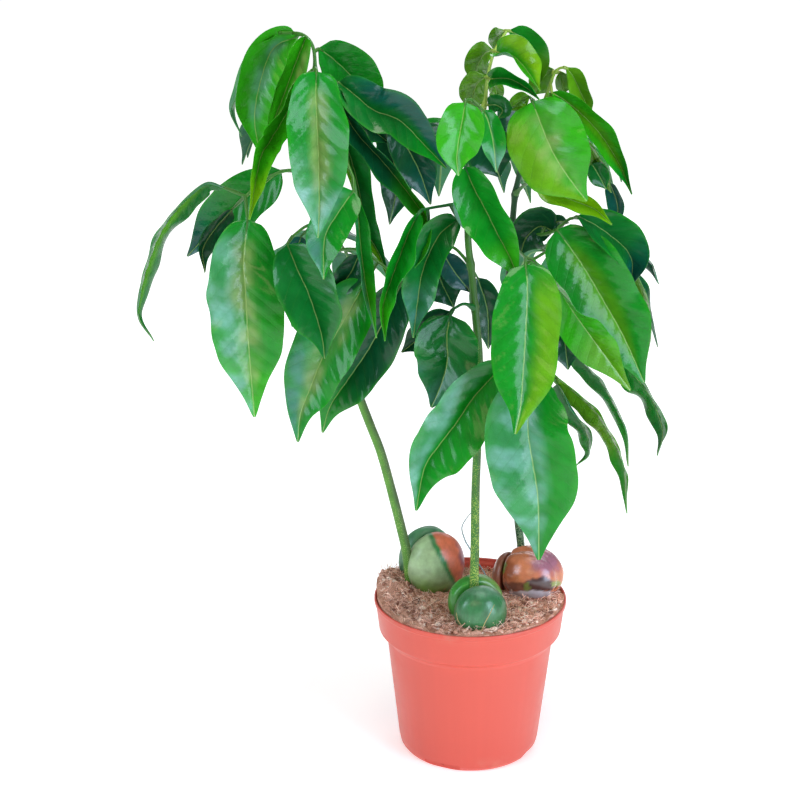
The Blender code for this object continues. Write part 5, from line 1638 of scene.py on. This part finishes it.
@dataclass(frozen=True)
class Soil:
    """The potting mix: a rough bed heaped on the left, with loose crumbs and fibres on it."""

    top: float = 101.5
    fall_to_back: float = 0.14
    heap_height: float = 15.0
    heap_place: tuple[float, float] = (-58.0, 14.0)
    heap_spread: float = 24.0
    crumb_height: float = 1.3
    radius: float = 58.65
    room: float = 0.3
    edge_radius: float = 58.8
    edge_drop: float = 0.45
    plug_top: float = 97.0
    clods: tuple[float, float] = (7.5, 2.6)
    lumps: tuple[float, float] = (3.2, 2.4)
    grit: tuple[float, float] = (1.4, 0.7)
    sunk: float = 0.5
    clear_of_seeds: float = 13.0
    rings: int = 96
    steps: int = 260
    crumbs: int = 1900
    fibres: int = 3000
    crumb_seed: int = 41
    crumb_size: tuple[float, float] = (0.4, 1.5)
    crumb_rarity: float = 2.6
    crumb_dents: tuple[float, float] = (0.42, 0.6)
    fibre_seed: int = 43
    fibre_length: tuple[float, float] = (2.5, 8.5)
    fibre_radius: tuple[float, float] = (0.08, 0.19)
    fibre_bends: int = 4
    fibre_gain: float = 1.2
    # How much paler the right of the mix is painted: painted light.
    painted_light_gain: float = 0.28
    browns: tuple[str, ...] = ("#d9a792", "#e4b8a4", "#efcdba", "#b98873", "#f6dccb", "#8f6353", "#e6bba6")
    finish: CoirAndPeat = field(default_factory=CoirAndPeat)

    def height(self, places: np.ndarray) -> np.ndarray:
        """Say how high the bed stands at places (x, y).

        Args:
            places: Points whose first two numbers are x and y.

        Returns:
            The height at each place.
        """
        x, y = places[..., 0], places[..., 1]
        away = np.hypot(x - self.heap_place[0], y - self.heap_place[1])
        heap = self.heap_height * np.exp(-(away / self.heap_spread) ** 2)
        edge = np.hypot(x, y) / self.edge_radius
        flat = np.stack([x * 0.21, y * 0.21, np.full(x.shape, 3.0)], axis=-1)
        crumb = self.crumb_height * field_noise(flat, 1.0, 0.0)
        heap = heap * (1.0 - self.edge_drop * edge ** 12)
        return self.top - self.fall_to_back * np.maximum(0.0, y) + heap + crumb

    def rough(self, points: np.ndarray) -> np.ndarray:
        """Say how far crumbs of several sizes lift the bed at points.

        Args:
            points: Points on the bed.

        Returns:
            The lift at each point.
        """
        clods = field_noise(points, self.clods[0], 11.0) * self.clods[1]
        lumps = np.abs(field_noise(points, self.lumps[0], 12.0)) * self.lumps[1]
        return clods + lumps + field_noise(points, self.grit[0], 13.0) * self.grit[1] - self.sunk

    def painted_light_to_right(self, places: np.ndarray) -> np.ndarray:
        """Say how many times paler the mix is at places: painted light, paler towards the right."""
        return 1.0 + self.painted_light_gain * eased(-15.0, 35.0, places[..., 0])

    def brown(self, rng: random.Random) -> np.ndarray:
        """Draw one of the mix's browns."""
        return linear(rng.choice(self.browns)) * rng.uniform(0.75, 1.2)

    def build_bed(self, material: bpy.types.Material) -> bpy.types.Object:
        """Make the bed: a rough top on a plain plug that fills the pot to its floor.

        Args:
            material: The finish of the mix.

        Returns:
            The bed.
        """
        radii = self.radius * (np.arange(1, self.rings + 1) / self.rings) ** 0.8
        turns = np.linspace(0.0, math.tau, self.steps, endpoint=False)
        grid = np.stack([np.outer(radii, np.cos(turns)), np.outer(radii, np.sin(turns)),
                         np.zeros((self.rings, self.steps))], axis=-1)
        grid[..., 2] = self.height(grid) + self.rough(grid)
        walls = [(radius - self.room, height + self.room) for radius, height in Pot().inside()[::-1]
                 if height < self.plug_top]
        plug = np.array([[(radius * math.cos(turn), radius * math.sin(turn), height) for turn in turns]
                         for radius, height in walls])
        centre = np.array([[0.0, 0.0, self.height(np.zeros((1, 3)))[0]], [0.0, 0.0, walls[-1][1]]])
        points = np.vstack([grid.reshape(-1, 3), plug.reshape(-1, 3), centre])
        first, second = linear(self.browns[3]), linear(self.browns[0])
        share = eased(-0.5, 0.5, field_noise(points, 2.6, 21.0))[:, None]
        shell = Shell()
        # Painted light: the bed's browns grow paler towards the right.
        tones = (first * (1 - share) + second * share) * self.painted_light_to_right(points)[:, None]
        shell.add(points, ring_faces(self.rings + len(walls), self.steps), 0, tones)
        return settle(shell.build("soil_bed", [material], 80.0), "soil", "soil")

    def free_spot(self, rng: random.Random, reach: float) -> np.ndarray:
        """Draw a place on the bed, outside the seeds.

        Args:
            rng: The draws of the piece that the place is for.
            reach: How far from the pot's axis it may be.

        Returns:
            The place, as high as the bed.
        """
        while True:
            radius, turn = reach * math.sqrt(rng.random()), rng.uniform(0.0, math.tau)
            place = np.array([radius * math.cos(turn), radius * math.sin(turn), 0.0])
            if all(np.hypot(*(place[:2] - np.array(half.centre[:2]))) > self.clear_of_seeds
                   for half in SEED_HALVES):
                place[2] = float(self.height(place[None])[0])
                return place

    def build_crumbs(self, material: bpy.types.Material) -> bpy.types.Object:
        """Make the loose crumbs: lumps of many sizes, each dented in its own way.

        Args:
            material: The finish of the mix.

        Returns:
            The crumbs, as one piece.
        """
        rng = random.Random(self.crumb_seed)
        bm = bmesh.new()
        bmesh.ops.create_icosphere(bm, subdivisions=2, radius=1.0)
        ball = np.array([vertex.co[:] for vertex in bm.verts])
        faces = [[vertex.index for vertex in face.verts] for face in bm.faces]
        bm.free()
        shell = Shell()
        for number in range(self.crumbs):
            place = self.free_spot(rng, self.radius - 2.0)
            size = self.crumb_size[0] + self.crumb_size[1] * rng.random() ** self.crumb_rarity
            squash = np.array([rng.uniform(0.7, 1.5), rng.uniform(0.6, 1.2), rng.uniform(0.5, 0.9)])
            turn = rng.uniform(0.0, math.tau)
            dents = self.crumb_dents[1] * field_noise(ball, self.crumb_dents[0], number * 1.7)
            lump = ball * squash * (size * (1 + dents))[:, None]
            spin = np.array([[math.cos(turn), math.sin(turn), 0],
                             [-math.sin(turn), math.cos(turn), 0], [0, 0, 1]])
            place[2] += size * rng.uniform(-0.1, 0.5)
            # Painted light: crumbs on the right are paler.
            shell.add(lump @ spin + place, faces, 0, self.brown(rng) * self.painted_light_to_right(place))
        return settle(shell.build("soil_crumbs", [material], 70.0), "soil")

    def build_fibres(self, material: bpy.types.Material) -> bpy.types.Object:
        """Make the coir fibres: short bent threads that lie on the bed and stick out of it.

        Args:
            material: The finish of the mix.

        Returns:
            The fibres, as one piece.
        """
        rng = random.Random(self.fibre_seed)
        shell = Shell()
        for _ in range(self.fibres):
            place = self.free_spot(rng, self.radius - 3.0)
            length = rng.uniform(*self.fibre_length)
            turn, lift = rng.uniform(0.0, math.tau), rng.uniform(-0.1, 0.45)
            way = np.array([math.cos(turn), math.sin(turn), lift])
            points = [place + np.array([0.0, 0.0, rng.uniform(0.2, 1.4)])]
            for _ in range(self.fibre_bends):
                way = unit(way + np.array([rng.gauss(0, 0.4), rng.gauss(0, 0.4), rng.gauss(0, 0.25)]))
                points.append(points[-1] + way * length / self.fibre_bends)
            reach = max(np.hypot(point[0], point[1]) for point in points)
            if reach > self.radius - 0.6:
                continue
            radius = rng.uniform(*self.fibre_radius)
            route = Route(points)
            shares = np.linspace(0.0, 1.0, 6)
            # Painted light: fibres on the right are paler.
            tone = self.brown(rng) * self.fibre_gain * self.painted_light_to_right(place)
            shell.tube(route.at(shares), np.full(6, radius), 4, 0, tone)
        return settle(shell.build("soil_fibres", [material], 80.0), "soil")

    def build(self) -> list[bpy.types.Object]:
        """Make the bed, its crumbs and its fibres."""
        material = self.finish.build()
        return [self.build_bed(material), self.build_crumbs(material), self.build_fibres(material)]


@dataclass(frozen=True)
class Stray:
    """One loose thread that the plant has caught: its spots as seen, its thickness and its colour."""

    name: str
    spots: Sequence[Spot]
    radius: float
    colour: str
    slot: str = "soil"

    def build(self, material: bpy.types.Material) -> bpy.types.Object:
        """Make the thread as a thin tube that narrows to its ends.

        Args:
            material: The finish of a dry thread.

        Returns:
            The thread.
        """
        route = Route(sighted(spot) for spot in self.spots)
        shares = np.linspace(0.0, 1.0, max(8, round(route.length / 1.2)))
        radii = self.radius * (0.45 + 0.55 * np.sin(math.pi * np.clip(shares, 0.04, 0.96)))
        shell = Shell()
        shell.tube(route.at(shares), radii, 7, 0, linear(self.colour))
        return settle(shell.build(self.name, [material], 80.0), self.slot)


STRAYS = [
    Stray("root_hair_loop", [(0.8, 157, -30.5), (-1.3, 155.1, -28), (-5.6, 147.1, -24), (-3.6, 138.3, -22),
                             (-1.1, 133.6, -21), (5.3, 122.1, -17), (9.8, 113.9, -15), (11.5, 104, -13)],
          0.42, "#7f9498", "stem"),
    Stray("straw_on_seed", [(15.3, 94.5, -50), (12.5, 88, -53.5), (9.6, 82, -56), (7.4, 76, -57)], 0.24,
          "#c9b277"),
    Stray("straw_by_seed", [(-8.5, 89, -50), (-7.6, 84, -53), (-5.2, 80, -56)], 0.24, "#c2a878"),
    Stray("dry_twig", [(-53.6, 361, -14), (-51.5, 366, -13), (-48.5, 368.8, -12)], 0.3, "#3d4a36", "stem"),
]


@dataclass(frozen=True)
class Studio:
    """A plain white floor, soft lights and the camera that stands where the photograph was taken."""

    floor_size: float = 80.0
    white: str = "#f7f8f8"
    aim: tuple[float, float, float] = (-0.03, 0.0, 0.28)
    surround: str = "#f2f5f8"
    surround_strength: float = 0.1
    glow_reach: tuple[float, float] = (0.3, 1.6)

    def build_floor(self) -> bpy.types.Object:
        """Make the floor, which glows a little so that it stays white under the plant.

        Returns:
            The floor.
        """
        bpy.ops.mesh.primitive_plane_add(size=self.floor_size)
        floor = bpy.context.object
        floor.name = "studio_floor"
        material, tree, shader = new_material("white studio floor")
        grain = add_node(tree, "ShaderNodeTexNoise", {"Scale": 60.0}).outputs["Fac"]
        rough = add_node(tree, "ShaderNodeMapRange", {0: grain, 3: 0.85, 4: 0.95}).outputs[0]
        fill(tree, shader, {"Roughness": rough, "Base Color": rgba(self.white), "Specular IOR Level": 0.0,
                            "Emission Color": rgba(self.white)})
        where = add_node(tree, "ShaderNodeTexCoord").outputs["Object"]
        away = add_node(tree, "ShaderNodeVectorMath", {0: where}, operation="LENGTH").outputs["Value"]
        glow = ranged(tree, away, *self.glow_reach, 0.5, 1.0)
        fill(tree, shader, {"Emission Strength": glow})
        floor.data.materials.append(material)
        return floor

    def softbox(self, name: str, place: tuple[float, float, float], aim: tuple[float, float, float],
                size: tuple[float, float], power: float, colour: str) -> bpy.types.Object:
        """Hang one soft light.

        Args:
            name: The light's name.
            place: Where it hangs, in metres.
            aim: The point that it looks at, in metres.
            size: Its width and height, in metres.
            power: Its power in watts.
            colour: Its colour as sRGB hex.

        Returns:
            The light.
        """
        data = bpy.data.lights.new(name, "AREA")
        data.shape = "RECTANGLE"
        data.size, data.size_y = size
        data.energy = power
        data.color = tuple(linear(colour))
        light = bpy.data.objects.new(name, data)
        bpy.context.scene.collection.objects.link(light)
        light.location = place
        light.rotation_euler = (Vector(aim) - Vector(place)).to_track_quat("-Z", "Y").to_euler()
        return light

    def build(self) -> None:
        """Set the floor, the lights, the plain surround and the camera."""
        self.build_floor()
        self.softbox("window_right", (0.8, -0.85, 0.42), self.aim, (0.5, 0.9), 11.0, "#cfe4ff")
        self.softbox("window_left", (-1.2, -0.65, 0.75), self.aim, (0.5, 0.8), 8.0, "#d8eaff")
        self.softbox("warm_card", (-0.3, -1.5, 1.2), self.aim, (0.8, 0.5), 3.6, "#ffe0b8")
        self.softbox("overhead", (0.1, -0.2, 1.6), self.aim, (0.9, 0.9), 15.0, "#fffaf0")
        self.softbox("behind", (0.3, 1.3, 0.9), self.aim, (1.2, 0.7), 6.0, "#f4f8ff")
        world = bpy.data.worlds.new("plain surround")
        bpy.context.scene.world = world
        world.use_nodes = True
        fill(world.node_tree, world.node_tree.nodes["Background"],
             {"Color": rgba(self.surround), "Strength": self.surround_strength})
        data = bpy.data.cameras.new("camera")
        data.lens = CAMERA_LENS
        camera = bpy.data.objects.new("camera", data)
        bpy.context.scene.collection.objects.link(camera)
        camera.location = Vector(EYE) * MM
        camera.rotation_euler = (math.radians(CAMERA_PITCH), 0.0, 0.0)
        bpy.context.scene.camera = camera
        bpy.context.scene.view_settings.view_transform = "Standard"


def main() -> None:
    """Build every piece in order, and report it."""
    logging.basicConfig(level=logging.INFO, format="%(message)s")
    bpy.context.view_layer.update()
    Studio().build()
    pieces = [Pot().build(), *Soil().build()]
    pieces += [stem.build() for stem in STEMS.values()]
    pieces += [half.build() for half in SEED_HALVES]
    thread = CoirAndPeat("dry plant fibre").build()
    pieces += [stray.build(thread) for stray in STRAYS]
    finishes = [LeafCuticle().build(),
                LeafCuticle("bean tree leaf, matt underside", 0.5, 0.4, coat=0.0, vein_share=0.3,
                            underside=True).build(),
                GreenStalk().build()]
    blade = Blade()
    pieces += [frond.build(finishes, blade) for frond in FRONDS]
    for piece in pieces:
        LOG.info("%s: %d faces", piece.name, len(piece.data.polygons))


if __name__ == "__main__":
    main()
